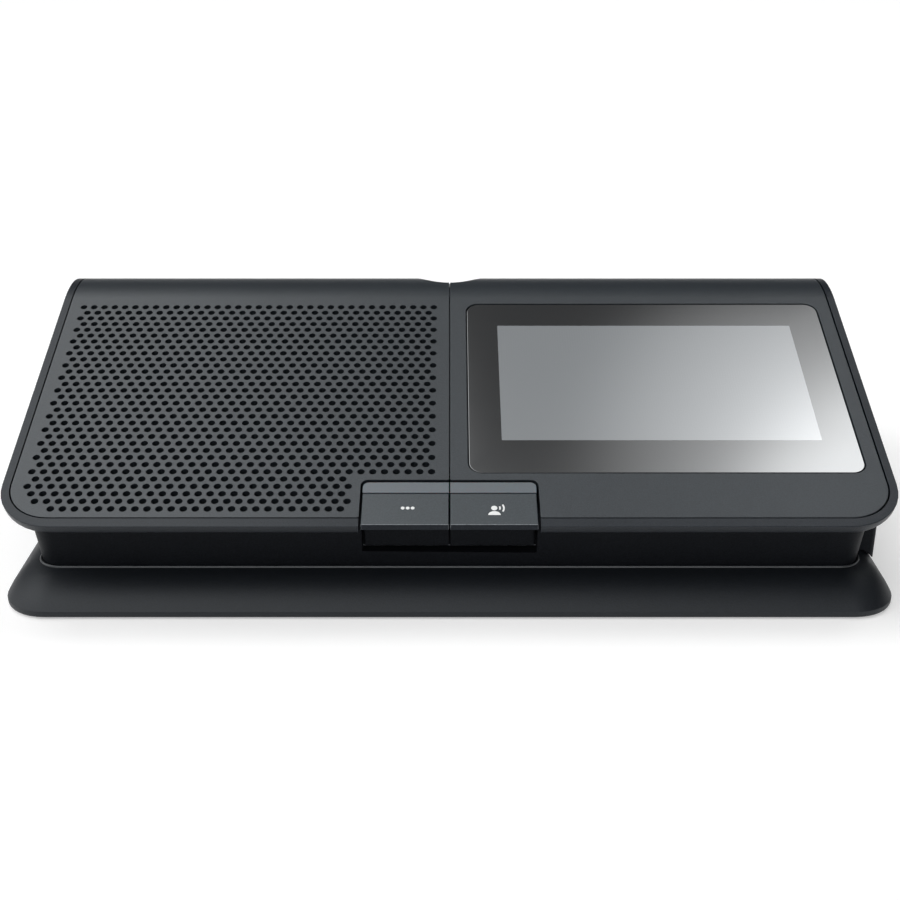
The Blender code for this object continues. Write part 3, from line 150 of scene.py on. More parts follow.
# Base
NECK_FOOT_HALF = 0.1211
NECK_FOOT_FRONT = 0.012
NECK_REAR = 0.134298
NECK_CORNER_RADIUS = 0.0065
BASE_HALF = 0.1299
BASE_FRONT = -0.003
BASE_REAR = 0.144598
BASE_CORNER_RADIUS = 0.0138
BASE_LIFT = 0.0005
BASE_EDGE = 0.002
FLARE_POWER = 2.25
FOOT_LINE = 0.0093
BEAD_WIDTH = 0.0007
BEAD_RISE = 0.0005
PAN_FLOOR = 0.0032
PAN_WALL = 0.005
POST_DIAMETER = 0.009
SCREW_SEAT = 0.0033
SCREW_SHANK = 0.0024
SCREW_HEAD = 0.0056
SCREW_HEAD_HEIGHT = 0.0018
SCREW_TOP = 0.0125
FOOT_DIAMETER = 0.012
FOOT_THICKNESS = 0.0014
FIT = 0.0002

# Rear sockets
PORT_REAR = 0.06353
CONTACTS = 8
CONTACT_PITCH = 0.00102
CONTACT_INSET = 0.0052
CONTACT_DROP = 0.0056
JACK_WALL = 0.1216
JACK_BORE = 0.0036
JACK_DEPTH = 0.0014
PIN_HEIGHT = 0.0018

# Fineness
CORNER_STEPS = 10
HOLE_SIDES = 14
ARC_STEPS = 16
ROUND_SIDES = 64
SHARP_ANGLE = math.radians(34.0)
FLAT_ANGLE = math.radians(0.5)
MERGE = 0.000005
OVERRUN = 0.004

# Sheen of the dark mouldings and the lens, a little cool
COOL_SHEEN = (0.93, 0.975, 1.0, 1.0)

# Gloss of the display's lens, bright over its printed border and its lit area alike
LENS_GLOSS = {"Specular Tint": COOL_SHEEN, "IOR": 1.52, "Specular IOR Level": 1.0, "Coat Weight": 1.0,
              "Coat IOR": 1.7, "Coat Roughness": 0.12}

# Length of one wave of a Wave node at a scale of 1
WAVE = math.tau / 20

# The photograph's camera
CAMERA_BACK = 0.3354
CAMERA_RISE = 0.1629
CAMERA_PITCH = math.radians(23.0)
CAMERA_LENS = 53.3
CAMERA_SHIFT = 0.0005
CAMERA_SENSOR = 36.0

# Soft lights of the studio: azimuth from the rear towards the right, elevation, reach, strength
STUDIO_LIGHTS = (
    (320.0, 62.0, 20.0, 3.5),
    (240.0, 60.0, 32.0, 2.15),
    (180.0, 36.0, 34.0, 2.0),
    (270.0, 32.0, 32.0, 1.55),
    (270.0, 8.0, 32.0, 0.5),
    (45.0, 62.0, 9.0, 3.0),
    (45.0, 62.0, 12.0, 1.2),
    (35.0, 62.0, 12.0, 1.2),
    (0.0, 90.0, 30.0, 0.5),
    (0.0, 65.0, 20.0, 0.17),
)


def linear(hex_colour):
    """Linear colour of an sRGB hex value."""
    channels = [int(hex_colour[i:i + 2], 16) / 255 for i in (0, 2, 4)]
    return [c / 12.92 if c <= 0.04045 else ((c + 0.055) / 1.055) ** 2.4 for c in channels]


# Sizes and colours that a user would change


def distance(name, description, default):
    return bpy.props.FloatProperty(name=name, description=description, default=default, min=0.0,
                                   subtype="DISTANCE", unit="LENGTH", precision=5)


def colour(name, description, hex_colour):
    return bpy.props.FloatVectorProperty(name=name, description=description, size=3, min=0.0, max=1.0,
                                         subtype="COLOR", default=linear(hex_colour))


class DelegateUnitSizes(bpy.types.PropertyGroup):
    hole_diameter: distance("Hole diameter", "Width of a hole in the loudspeaker cover", 0.00222)
    hole_pitch: distance("Hole pitch", "Distance between holes of one row", 0.0034)
    row_pitch: distance("Row pitch", "Distance between rows of holes", 0.00295)
    hole_chamfer: distance("Hole chamfer", "Chamfer round each hole", 0.00016)
    cover_round: distance("Cover edge", "Rounding of the covers' edges", 0.0002)
    key_round: distance("Key edge", "Rounding of the keys' edges", 0.0003)
    screen_left: distance("Screen left", "Left edge of the lit area from the middle seam", 0.0155)
    screen_front: distance("Screen front", "Front edge of the lit area from the covers' front", 0.0315)
    screen_width: distance("Screen width", "Width of the lit area", 0.095)
    screen_length: distance("Screen length", "Length of the lit area along the slope", 0.0538)
    mark_size: distance("Mark size", "Diameter of the speaking head on the right key", 0.00175)
    dot_size: distance("Dot size", "Diameter of a dot on the left key", 0.00108)


class DelegateUnitColours(bpy.types.PropertyGroup):
    cover: colour("Covers", "Charcoal moulding of both top covers", "272C31")
    rim: colour("Rim", "Tray's rim and rear cover", "1E2228")
    neck: colour("Neck", "Recessed lower housing", "191B1F")
    base: colour("Base", "Flared base", "181B20")
    key: colour("Keys", "Key caps", "2C3338")
    light: colour("Light bars", "Translucent bars at the keys' rear", "5D656B")
    lens: colour("Lens border", "Printed border under the display's lens", "06070A")
    screen: colour("Screen", "Unlit display area", "868A8D")
    mark: colour("Marks", "Printed marks on the keys", "F2F3F3")


# Forms made with bmesh operators


def upward(angle):
    """Unit normal of a slope, as y and z."""
    return Vector((-math.sin(angle), math.cos(angle)))


def top_point(along, height):
    """World y and z of a flat-drawn point, along the top line and a height above the surface."""
    angle = FRONT_SLOPE
    point = min(along, SLOPE_LENGTH) * Vector((math.cos(angle), math.sin(angle)))
    if along > SLOPE_LENGTH:
        hub = point - CREST_FRONT_RADIUS * upward(angle)
        angle = max(FRONT_SLOPE - (along - SLOPE_LENGTH) / CREST_FRONT_RADIUS, 0.0)
        point = hub + CREST_FRONT_RADIUS * upward(angle)
    if along > CREST_TOP:
        hub = point - CREST_REAR_RADIUS * upward(0.0)
        angle = -min((along - CREST_TOP) / CREST_REAR_RADIUS, REAR_SLOPE)
        point = hub + CREST_REAR_RADIUS * upward(angle)
    if along > CREST_END:
        point = point + (along - CREST_END) * Vector((math.cos(angle), math.sin(angle)))
    point = point + height * upward(angle)
    return SEAM_Y + point.x, SEAM_HEIGHT + point.y


def cut_across(form, place, direction, **how):
    """Cuts a form along the plane through a place."""
    bmesh.ops.bisect_plane(form, geom=form.verts[:] + form.edges[:] + form.faces[:], plane_co=place,
                           plane_no=direction, **how)


def bend(form):
    """Cuts a flat-drawn form across at close stations and bends it over the crest."""
    stations = [SLOPE_LENGTH + (CREST_TOP - SLOPE_LENGTH) * i / CREST_FRONT_STEPS
                for i in range(CREST_FRONT_STEPS)]
    stations += [CREST_TOP + (CREST_END - CREST_TOP) * i / CREST_REAR_STEPS
                 for i in range(CREST_REAR_STEPS + 1)]
    for station in stations:
        cut_across(form, (0, station, 0), (0, 1, 0), dist=MERGE)
    for vert in form.verts:
        vert.co.yz = top_point(vert.co.y, vert.co.z)
    return form


def rectangle(low, high, radius, rear_radius=None):
    """Corners (x, y, radius) of a rectangle, with a radius of their own for the rear ones if given."""
    rear = radius if rear_radius is None else rear_radius
    return [(low[0], low[1], radius), (high[0], low[1], radius), (high[0], high[1], rear),
            (low[0], high[1], rear)]


def draw_outline(form, corners, height=0.0):
    """Adds a face at a height, with rounded corners (x, y, radius)."""
    verts = [form.verts.new((x, y, height)) for x, y, _ in corners]
    form.faces.new(verts)
    for vert, corner in zip(verts, corners):
        if corner[2]:
            bmesh.ops.bevel(form, geom=[vert], offset=corner[2], offset_type="OFFSET",
                            segments=CORNER_STEPS, profile=0.5, affect="VERTICES", material=-1)


def flat_form(outlines, circles=()):
    """Flat sheet inside the first outline, with the others and the circles (x, y, radius) as holes."""
    form = bmesh.new()
    for corners in outlines:
        draw_outline(form, corners)
    bmesh.ops.delete(form, geom=form.faces[:], context="FACES_ONLY")
    for x, y, radius in circles:
        bmesh.ops.create_circle(form, cap_ends=False, segments=HOLE_SIDES, radius=radius,
                                matrix=Matrix.Translation((x, y, 0)))
    bmesh.ops.triangle_fill(form, use_beauty=True, use_dissolve=False, edges=form.edges[:],
                            normal=(0, 0, 1))
    return form


def thicken(form, depth, top=0.0):
    """Gives a flat sheet its thickness below the height top."""
    bmesh.ops.translate(form, verts=form.verts[:], vec=(0, 0, top))
    grown = bmesh.ops.extrude_face_region(form, geom=form.faces[:])
    lower = [item for item in grown["geom"] if isinstance(item, bmesh.types.BMVert)]
    bmesh.ops.translate(form, verts=lower, vec=(0, 0, -depth))
    bmesh.ops.recalc_face_normals(form, faces=form.faces[:])
    return form


def tidy(form):
    """Merges doubles and joins the triangles of each flat face."""
    bmesh.ops.remove_doubles(form, verts=form.verts[:], dist=MERGE)
    bmesh.ops.dissolve_limit(form, angle_limit=FLAT_ANGLE, use_dissolve_boundaries=False,
                             verts=form.verts[:], edges=form.edges[:])
    return form


def soften(form, width, segments=2, where=None):
    """Rounds the sharp edges, or those of them that a test picks."""
    form.normal_update()
    edges = [edge for edge in form.edges if len(edge.link_faces) == 2
             and edge.calc_face_angle(0.0) > SHARP_ANGLE and (where is None or where(edge))]
    bmesh.ops.bevel(form, geom=edges, offset=width, offset_type="OFFSET", segments=segments,
                    profile=0.5, affect="EDGES", clamp_overlap=True, material=-1)
    return form


def at_height(height):
    """Test for edges that lie at a height of the flat drawing."""
    return lambda edge: all(abs(vert.co.z - height) < MERGE for vert in edge.verts)


def choose_finishes(form, test):
    """Gives each face the finish whose number a test finds from its middle and its normal."""
    form.normal_update()
    for face in form.faces:
        face.material_index = int(test(face.calc_center_median(), face.normal))
    return form


def block(low, high):
    form = bmesh.new()
    low, high = Vector(low), Vector(high)
    place = Matrix.Translation((high + low) / 2) @ Matrix.Diagonal((*(high - low), 1))
    bmesh.ops.create_cube(form, size=1.0, matrix=place)
    return form


def rod(radius, low, high, centre=(0, 0), sides=ROUND_SIDES):
    form = bmesh.new()
    place = Matrix.Translation((centre[0], centre[1], (low + high) / 2))
    bmesh.ops.create_cone(form, cap_ends=True, segments=sides, radius1=radius, radius2=radius,
                          depth=high - low, matrix=place)
    return form


def turned(profile):
    """Profile of (radius, height) points, spun about Z into a closed form."""
    form = bmesh.new()
    verts = [form.verts.new((radius, 0, height)) for radius, height in profile]
    edges = [form.edges.new(pair) for pair in zip(verts, verts[1:])]
    bmesh.ops.spin(form, geom=verts + edges, cent=(0, 0, 0), axis=(0, 0, 1), angle=math.tau,
                   steps=ROUND_SIDES, use_merge=True)
    bmesh.ops.remove_doubles(form, verts=form.verts[:], dist=MERGE)
    bmesh.ops.recalc_face_normals(form, faces=form.faces[:])
    return form


def lofted(rings):
    """Closed form through rings, each an outline of corners (x, y, radius) at a height."""
    form = bmesh.new()
    loops = []
    for corners, height in rings:
        known = set(form.verts)
        draw_outline(form, corners, height)
        loops.append([vert for vert in form.verts if vert not in known])
    caps = [face for face in form.faces if face.verts[0] in loops[0] or face.verts[0] in loops[-1]]
    between = [face for face in form.faces if face not in caps]
    bmesh.ops.delete(form, geom=between, context="FACES_ONLY")
    for lower, upper in zip(loops, loops[1:]):
        lower, upper = set(lower), set(upper)
        edges = [edge for edge in form.edges if set(edge.verts) <= lower or set(edge.verts) <= upper]
        bmesh.ops.bridge_loops(form, edges=edges)
    bmesh.ops.recalc_face_normals(form, faces=form.faces[:])
    return form


def joined(*forms):
    """One form that holds all the given ones, side by side."""
    whole = forms[0]
    for form in forms[1:]:
        mesh = bpy.data.meshes.new("part")
        form.to_mesh(mesh)
        form.free()
        whole.from_mesh(mesh)
        bpy.data.meshes.remove(mesh)
    return whole


def placed(form, matrix):
    bmesh.ops.transform(form, matrix=matrix, verts=form.verts[:])
    return form


def new_object(name, form):
    """Object in the scene that has the form as its mesh."""
    mesh = bpy.data.meshes.new(name)
    form.to_mesh(mesh)
    form.free()
    item = bpy.data.objects.new(name, mesh)
    bpy.context.scene.collection.objects.link(item)
    return item


def carved(form, cutters, operation="DIFFERENCE", solver="EXACT"):
    """The form after a Boolean modifier with each cutter; all are closed solids."""
    target = new_object("target", form)
    tools = [new_object("tool", cutter) for cutter in cutters]
    for tool in tools:
        cut = target.modifiers.new("cut", "BOOLEAN")
        cut.operation = operation
        cut.solver = solver
        cut.object = tool
    bpy.context.view_layer.update()
    mesh = bpy.data.meshes.new_from_object(target.evaluated_get(bpy.context.evaluated_depsgraph_get()))
    result = bmesh.new()
    result.from_mesh(mesh)
    for item in [target] + tools:
        used = item.data
        bpy.data.objects.remove(item)
        bpy.data.meshes.remove(used)
    bpy.data.meshes.remove(mesh)
    return result


def copied(node):
    """Merged copy of a CAD node's form, with its flat faces whole."""
    form = bmesh.new()
    form.from_mesh(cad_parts[node].data)
    return tidy(form)


def node_middle(node):
    """Middle of a CAD node's box, across and from front to rear."""
    low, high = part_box(node)
    return tuple(((low + high) / 2)[:2])


def socket_frame():
    """Frame whose Z axis is the microphone socket's, with its origin on the top surface."""
    y, z = top_point(CREST_TOP + CREST_REAR_RADIUS * SOCKET_TILT, 0)
    return Matrix.Translation((0, y, z)) @ Matrix.Rotation(-SOCKET_TILT, 4, "X")


def scooped(form, solver="EXACT"):
    """Cuts the microphone socket's round recess into a bent form."""
    cutter = placed(rod(SOCKET_RECESS / 2, -SCOOP_BELOW, SCOOP_ABOVE), socket_frame())
    return carved(form, [cutter], solver=solver)


COVER_FRAME = Matrix.Translation((0, SEAM_Y, SEAM_HEIGHT)) @ Matrix.Rotation(FRONT_SLOPE, 4, "X")


# Pieces


def add_piece(name, form, finishes, replaced=(), body="station"):
    """Makes the form a smooth-shaded object that rides on a body."""
    piece = new_object(name, form)
    for each in finishes:
        piece.data.materials.append(finish(each))
    piece.data.shade_smooth()
    piece.data.set_sharp_from_angle(angle=SHARP_ANGLE)
    weighted = piece.modifiers.new("normals", "WEIGHTED_NORMAL")
    weighted.keep_sharp = True
    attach(piece, body)
    if replaced:
        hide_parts(*replaced)
    return piece


# Finishes


def add_node(tree, kind, settings=None, links=None):
    """Adds a node, sets its properties and input values, and links its inputs."""
    node = tree.nodes.new(kind)
    for name, value in (settings or {}).items():
        if isinstance(name, str) and hasattr(node, name):
            setattr(node, name, value)
        else:
            node.inputs[name].default_value = value
    for name, source in (links or {}).items():
        tree.links.new(source, node.inputs[name])
    return node


def combine(tree, operation, first, second):
    """Result of a Math node for two values."""
    pair = add_node(tree, "ShaderNodeMath", {"operation": operation}, {0: first, 1: second})
    return pair.outputs["Value"]


def new_finish(name, shader_settings):
    """Material with a Principled shader, and its tree and coordinates for the patterns."""
    material = bpy.data.materials.new(name)
    material.use_nodes = True
    tree = material.node_tree
    shader = tree.nodes["Principled BSDF"]
    for socket, value in shader_settings.items():
        shader.inputs[socket].default_value = value
    place = add_node(tree, "ShaderNodeTexCoord").outputs["Object"]
    return material, tree, shader, place


def shade(tone, share):
    """Lighter or darker shade of a tone, with its alpha."""
    return [min(channel * share, 1.0) for channel in tone] + [1]


def vary_surface(tree, shader, level, gloss=None, relief=None):
    """Lets a pattern vary the gloss and the relief.

    Gloss is the roughness where the pattern is low and high, and relief is the bump's strength
    and depth."""
    if gloss:
        sheen = add_node(tree, "ShaderNodeMapRange", {"To Min": gloss[0], "To Max": gloss[1]},
                         {"Value": level})
        tree.links.new(sheen.outputs["Result"], shader.inputs["Roughness"])
    if relief:
        bump = add_node(tree, "ShaderNodeBump", {"Strength": relief[0], "Distance": relief[1]},
                        {"Height": level})
        tree.links.new(bump.outputs["Normal"], shader.inputs["Normal"])


def moulded_plastic(name, tone, roughness, specular=0.5, grain=0.00045, depth=0.00006):
    """ABS or PC/ABS from a spark-eroded mould: fine even grain, soft wide highlights.

    The real grain is about 0.1 mm and is drawn coarser, so that it shows. The tone varies a
    little over some centimetres, as the sheen of a large moulding does. Speck is the grain's
    share in the tone, and lift makes up for what it darkens."""
    speck, lift, cloud, sheen = 0.8, 1.67, 0.05, 0.07
    material, tree, shader, place = new_finish(name, {"IOR": 1.5, "Specular IOR Level": specular,
                                                      "Specular Tint": COOL_SHEEN})
    wide = add_node(tree, "ShaderNodeTexNoise", {"Scale": 28.0, "Detail": 3.0, "Roughness": 0.6},
                    {"Vector": place})
    close = add_node(tree, "ShaderNodeTexNoise", {"Scale": 1 / grain, "Detail": 2.0, "Roughness": 0.55},
                     {"Vector": place})
    fine = close.outputs["Fac"]
    tint = add_node(tree, "ShaderNodeValToRGB", None, {"Fac": wide.outputs["Fac"]})
    low, high = tint.color_ramp.elements
    low.position, high.position = 0.3, 0.7
    low.color = shade(tone, (1 - cloud) * lift)
    high.color = shade(tone, (1 + cloud) * lift)
    grainy = add_node(tree, "ShaderNodeMix", {"data_type": "RGBA", "blend_type": "MULTIPLY", 0: speck},
                      {6: tint.outputs["Color"], 7: fine})
    tree.links.new(grainy.outputs[2], shader.inputs["Base Color"])
    vary_surface(tree, shader, fine, (roughness - sheen, roughness + sheen), (0.8, depth))
    return material


def patterned(name, tone, settings, patterns, shades, gloss=None, relief=None, joint=None,
              stretch=None):
    """Finish with a pattern that varies its tone, its gloss and its relief.

    A pattern is a node's kind, its output and its settings, and joint says how two are combined.
    Shades are shares of the tone where the pattern is low and high, and stretch scales the
    pattern along each axis."""
    material, tree, shader, place = new_finish(name, settings)
    if stretch:
        place = add_node(tree, "ShaderNodeMapping", {"Scale": stretch}, {"Vector": place}).outputs["Vector"]
    levels = [add_node(tree, kind, values, {"Vector": place}).outputs[output]
              for kind, output, values in patterns]
    level = combine(tree, joint, *levels) if joint else levels[0]
    tint = add_node(tree, "ShaderNodeMix", {"data_type": "RGBA", 6: shade(tone, shades[0]),
                                            7: shade(tone, shades[1])}, {0: level})
    tree.links.new(tint.outputs[2], shader.inputs["Base Color"])
    vary_surface(tree, shader, level, gloss, relief)
    return material


def printed_glass(name, tone):
    """Chemically strengthened cover lens with ink under it: a deep tone and a clear hard gloss.

    Its front and its back face both mirror, the front one as a coat. Faint wipe marks of about
    20 mm vary the gloss, as on any handled display."""
    wipe = [("ShaderNodeTexNoise", "Fac", {"Scale": 45.0, "Detail": 4.0, "Distortion": 0.6})]
    return patterned(name, tone, LENS_GLOSS, wipe, (0.97, 1.03), (0.096, 0.15))


def unlit_screen(name, tone):
    """Unlit liquid-crystal panel bonded under the lens: grey, with a very fine pixel grid.

    The real pixels are 0.2 mm apart and are drawn 0.8 mm apart, so that they show."""
    grid = [("ShaderNodeTexWave", "Fac", {"bands_direction": way, "Scale": WAVE / 0.00079}) for way in "XY"]
    return patterned(name, tone, {**LENS_GLOSS, "Roughness": 0.14, "Coat IOR": 1.9}, grid, (0.97, 1.03),
                     joint="MULTIPLY")


def translucent_bar(name, tone):
    """Frosted polycarbonate light guide: pale, slightly milky, with a soft gloss and a fine frost."""
    frost = [("ShaderNodeTexNoise", "Fac", {"Scale": 2200.0, "Detail": 2.0})]
    return patterned(name, tone, {"IOR": 1.58, "Subsurface Weight": 0.25, "Subsurface Scale": 0.0015},
                     frost, (0.94, 1.06), (0.32, 0.42))


def pad_print(name, tone):
    """Two-component ink, printed in one thick matt coat, with a grain of a quarter of a millimetre."""
    grain = [("ShaderNodeTexNoise", "Fac", {"Scale": 1 / 0.00025, "Detail": 2.0})]
    return patterned(name, tone, {"IOR": 1.5, "Specular IOR Level": 0.4}, grain, (0.96, 1.0), (0.45, 0.6))


def woven_cloth(name, tone):
    """Thin polyester acoustic cloth: plain weave, dull, with tiny open spaces.

    The real threads are 0.5 mm apart and are drawn 1 mm apart, so that they show."""
    weave = [("ShaderNodeTexWave", "Fac", {"bands_direction": way, "Scale": WAVE / 0.00099}) for way in "XY"]
    return patterned(name, tone, {"Specular IOR Level": 0.2, "Sheen Weight": 0.2, "Sheen Roughness": 0.5,
                                  "Roughness": 0.9}, weave, (0.4, 1.0), relief=(0.6, 0.0001), joint="MAXIMUM")


def plain_metal(name, tone, roughness, stretch=None):
    """Rolled or turned metal: lines about 1 mm apart along one way, or even where nothing is stretched."""
    lines = [("ShaderNodeTexNoise", "Fac", {"Scale": 900.0, "Detail": 4.0})]
    return patterned(name, tone, {"Metallic": 1.0}, lines, (0.85, 1.0),
                     (roughness - 0.08, roughness + 0.1), (0.15, 0.00003), stretch=stretch)


def soft_rubber(name, tone):
    """Die-cut elastomer: very dull, with a leathery pebble of about half a millimetre."""
    pebble = [("ShaderNodeTexVoronoi", "Distance", {"Scale": 1 / 0.0005})]
    return patterned(name, tone, {"Specular IOR Level": 0.3}, pebble, (1.0, 1.5), (0.78, 0.92), (0.3, 0.0001))


def circuit_laminate(name, tone):
    """Glass-epoxy board under green solder resist, with the copper tracks just showing."""
    material, tree, shader, place = new_finish(name, {"IOR": 1.52, "Roughness": 0.35})
    tracks = add_node(tree, "ShaderNodeTexBrick",
                      {"Scale": 260.0, "Mortar Size": 0.03, "Color1": shade(tone, 1.0),
                       "Color2": shade(tone, 0.9), "Mortar": shade(tone, 1.8)}, {"Vector": place})
    tree.links.new(tracks.outputs["Color"], shader.inputs["Base Color"])
    vary_surface(tree, shader, tracks.outputs["Fac"], relief=(0.3, 0.00005))
    return material


# How each finish is made, its tone (a colour of the panel or a hex value) and its other values.
# Pressed pulp and sintered ferrite have the even grain of a moulding, only coarser.
FINISH_TABLE = {
    "cover_abs": (moulded_plastic, "cover", 0.4, 0.6),
    "rim_abs": (moulded_plastic, "rim", 0.4, 0.34),
    "neck_abs": (moulded_plastic, "neck", 0.5, 0.1),
    "base_abs": (moulded_plastic, "base", 0.5, 0.45),
    # A glossier and lighter tone on the base's bead: the lighter tone is a painted highlight
    "bead_abs": (moulded_plastic, "3C3E41", 0.32, 0.6),
    "key_abs": (moulded_plastic, "key", 0.38, 0.66),
    # A pale tone on the keys' front edges and the ledge's edge: a painted highlight
    "edge_abs": (moulded_plastic, "74797E", 0.3, 0.7),
    # Darker tones on the keys' lip and skirt, which are also duller: painted shade
    "lip_abs": (moulded_plastic, "rim", 0.5, 0.2),
    "skirt_abs": (moulded_plastic, "neck", 0.55, 0.1),
    "socket_pbt": (moulded_plastic, "232427", 0.4),
    "switch_pa": (moulded_plastic, "1A1A1C", 0.5),
    "cone_pulp": (moulded_plastic, "1C1C1E", 0.85, 0.3, 0.0008, 0.0001),
    "ferrite": (moulded_plastic, "303236", 0.6, 0.4, 0.0006, 0.00005),
    "lens_border": (printed_glass, "lens"),
    "lens_screen": (unlit_screen, "screen"),
    "frosted_pc": (translucent_bar, "light"),
    "mark_ink": (pad_print, "mark"),
    "acoustic_weave": (woven_cloth, "0E0E10"),
    "tinned_steel": (plain_metal, "B4B6B8", 0.35, (1, 8, 1)),
    "zinc_steel": (plain_metal, "8A8D90", 0.4),
    "pressed_steel": (plain_metal, "8C8F93", 0.4, (8, 1, 1)),
    "gold_contact": (plain_metal, "D9B665", 0.25),
    "foot_rubber": (soft_rubber, "1A1A1B"),
    "solder_resist": (circuit_laminate, "1E4A33"),
}
FINISHES = {}


def finish(name):
    """A finish of the unit by name, made when it is first asked for."""
    if name not in FINISHES:
        maker, tone, *values = FINISH_TABLE[name]
        tones = bpy.context.scene.delegate_unit_colours
        tone = getattr(tones, tone) if hasattr(tones, tone) else linear(tone)
        FINISHES[name] = maker(name, tone, *values)
    return FINISHES[name]


# Covers


def cover_outline(side):
    """Corners of the left (-1) or right (1) cover, with the notch for its key."""
    inner, half = SEAM_GAP / 2, COVER_HALF - SEAM_SHADOW
    return [(side * x, y, radius) for x, y, radius in (
        (half, SEAM_SHADOW, COVER_CORNER_RADIUS),
        (half, COVER_SPLIT, SMALL_RADIUS),
        (inner, COVER_SPLIT, SMALL_RADIUS),
        (inner, KEY_FIELD_REAR, SMALL_RADIUS),
        (KEY_FIELD_HALF, KEY_FIELD_REAR, KEY_NOTCH_RADIUS),
        (KEY_FIELD_HALF, SEAM_SHADOW, SMALL_RADIUS),
    )]


def grille_holes(sizes):
    """Centres of the staggered rows of holes, kept clear of the key notch and the rounded corner."""
    centres = []
    for row in range(HOLE_ROWS):
        along = REAR_ROW - row * sizes.row_pitch
        first = FIRST_HOLE + (row % 2) * sizes.hole_pitch / 2
        for column in range(ROW_HOLES - row % 2):
            across = first + column * sizes.hole_pitch
            if -across < KEY_FIELD_HALF + HOLE_CLEARANCE and along < HOLE_NOTCH:
                continue
            reach = Vector((-across - COVER_HALF + HOLE_CORNER, HOLE_CORNER - along))
            if min(reach) > 0 and reach.length > HOLE_CORNER - HOLE_CLEARANCE:
                continue
            centres.append((across + HOLE_SHIFT.x, along + HOLE_SHIFT.y))
    return centres


def speaker_grille(sizes):
    holes = [(x, y, sizes.hole_diameter / 2) for x, y in grille_holes(sizes)]
    form = thicken(flat_form([cover_outline(-1)], holes), GRILLE_THICKNESS)
    soften(form, sizes.hole_chamfer, 1, where=at_height(0.0))
    form = scooped(bend(form), "MANIFOLD")
    add_piece("speaker_grille", form, ["cover_abs"], ["grille_cover"])


def grille_cloth():
    """Acoustic cloth stretched behind the holes, cut clear of the left key."""
    inset, depth = 0.0022, 0.0003
    low = -COVER_HALF + inset
    corners = [
        (low, inset, COVER_CORNER_RADIUS - inset),
        (low, SLOPE_LENGTH - inset, SMALL_RADIUS),
        (-inset, SLOPE_LENGTH - inset, SMALL_RADIUS),
        (-inset, KEY_FIELD_REAR + inset, SMALL_RADIUS),
        (-KEY_FIELD_HALF - inset, KEY_FIELD_REAR + inset, SMALL_RADIUS),
        (-KEY_FIELD_HALF - inset, inset, SMALL_RADIUS),
    ]
    form = thicken(flat_form([corners]), depth, -GRILLE_THICKNESS - SEAM_GAP)
    piece = add_piece("grille_cloth", placed(form, COVER_FRAME), ["acoustic_weave"],
                      ["acoustic_cloth"])


def display_surround(sizes):
    gap = Vector((GLASS_GAP, GLASS_GAP))
    window = rectangle(GLASS_LOW - gap, GLASS_HIGH + gap, GLASS_CORNER_RADIUS + GLASS_GAP)
    form = tidy(thicken(flat_form([cover_outline(1), window]), SURROUND_THICKNESS))
    soften(form, sizes.cover_round, 3, where=at_height(0.0))
    add_piece("display_surround", scooped(bend(form)), ["cover_abs"], ["display_cover"])


def display_lens(sizes):
    """Lens of the display, its top split along the edges of the lit area."""
    form = flat_form([rectangle(GLASS_LOW, GLASS_HIGH, GLASS_CORNER_RADIUS)])
    form = tidy(thicken(form, GLASS_THICKNESS, -GLASS_RECESS))
    soften(form, GLASS_ROUND, 2, where=at_height(-GLASS_RECESS))
    left, front = sizes.screen_left, sizes.screen_front
    right, rear = left + sizes.screen_width, front + sizes.screen_length
    for across in (left, right):
        cut_across(form, (across, 0, 0), (1, 0, 0), dist=MERGE)
    for along in (front, rear):
        cut_across(form, (0, along, 0), (0, 1, 0), dist=MERGE)
    choose_finishes(form, lambda middle, normal: (
        left < middle.x < right and front < middle.y < rear and normal.z > 0.5))
    add_piece("display_lens", placed(form, COVER_FRAME), ["lens_border", "lens_screen"],
              ["display_glass"])


# Tray and rear shell


def rim_form(low, high, front_radius, rear_radius):
    """Plate between two stations, its open edges shaped by the rim's section.

    An edge with no corner radius is a plain cut."""
    rings = []
    for inset, height in RIM_SECTION:
        front, front_round = (low + inset, front_radius - inset) if front_radius else (low, CUT_RADIUS)
        rear, rear_round = (high - inset, rear_radius - inset) if rear_radius else (high, CUT_RADIUS)
        half = TRAY_HALF - inset
        rings.append((rectangle((-half, front), (half, rear), front_round, rear_round), height))
    return lofted(rings)


def rim_tray():
    """Tray with its recess for the covers; a thin rib closes their seam where it crosses the crest."""
    form = rim_form(TRAY_FRONT, TRAY_END, RIM_CORNER_RADIUS, 0)
    half, below = COVER_HALF + SEAM_GAP, -TRAY_THICKNESS - OVERRUN
    inner = rectangle((-half, -SEAM_GAP), (half, TRAY_END + OVERRUN), COVER_CORNER_RADIUS + SEAM_GAP,
                      SMALL_RADIUS)
    recess = thicken(flat_form([inner]), RECESS_DEPTH + OVERRUN, OVERRUN)
    keys = block((-KEY_FIELD_HALF, TRAY_FRONT - OVERRUN, below), (KEY_FIELD_HALF, KEY_OPENING_REAR, OVERRUN))
    speaker = rod(SPEAKER_OPENING / 2, below, 0, SPEAKER_CENTRE)
    inset = PANEL_INSET - Vector((GLASS_GAP, GLASS_GAP))
    panel = block((*(GLASS_LOW + inset), below), (*(GLASS_HIGH - inset), 0))
    form = carved(form, [recess, keys, speaker, panel])
    rib = block((-RIB_HALF, CREST_TOP - RIB_REACH, -RECESS_DEPTH - SEAM_GAP),
                (RIB_HALF, TRAY_END - MERGE, -RIB_DROP))
    form = scooped(bend(tidy(carved(form, [rib], "UNION"))))
    add_piece("rim_tray", form, ["rim_abs"], ["body_tray"])


def rear_shell():
    form = scooped(bend(rim_form(REAR_COVER_START, TOP_LINE_END, 0, REAR_CORNER_RADIUS)))
    add_piece("rear_shell", form, ["rim_abs"], ["rear_cover"])


# Keys


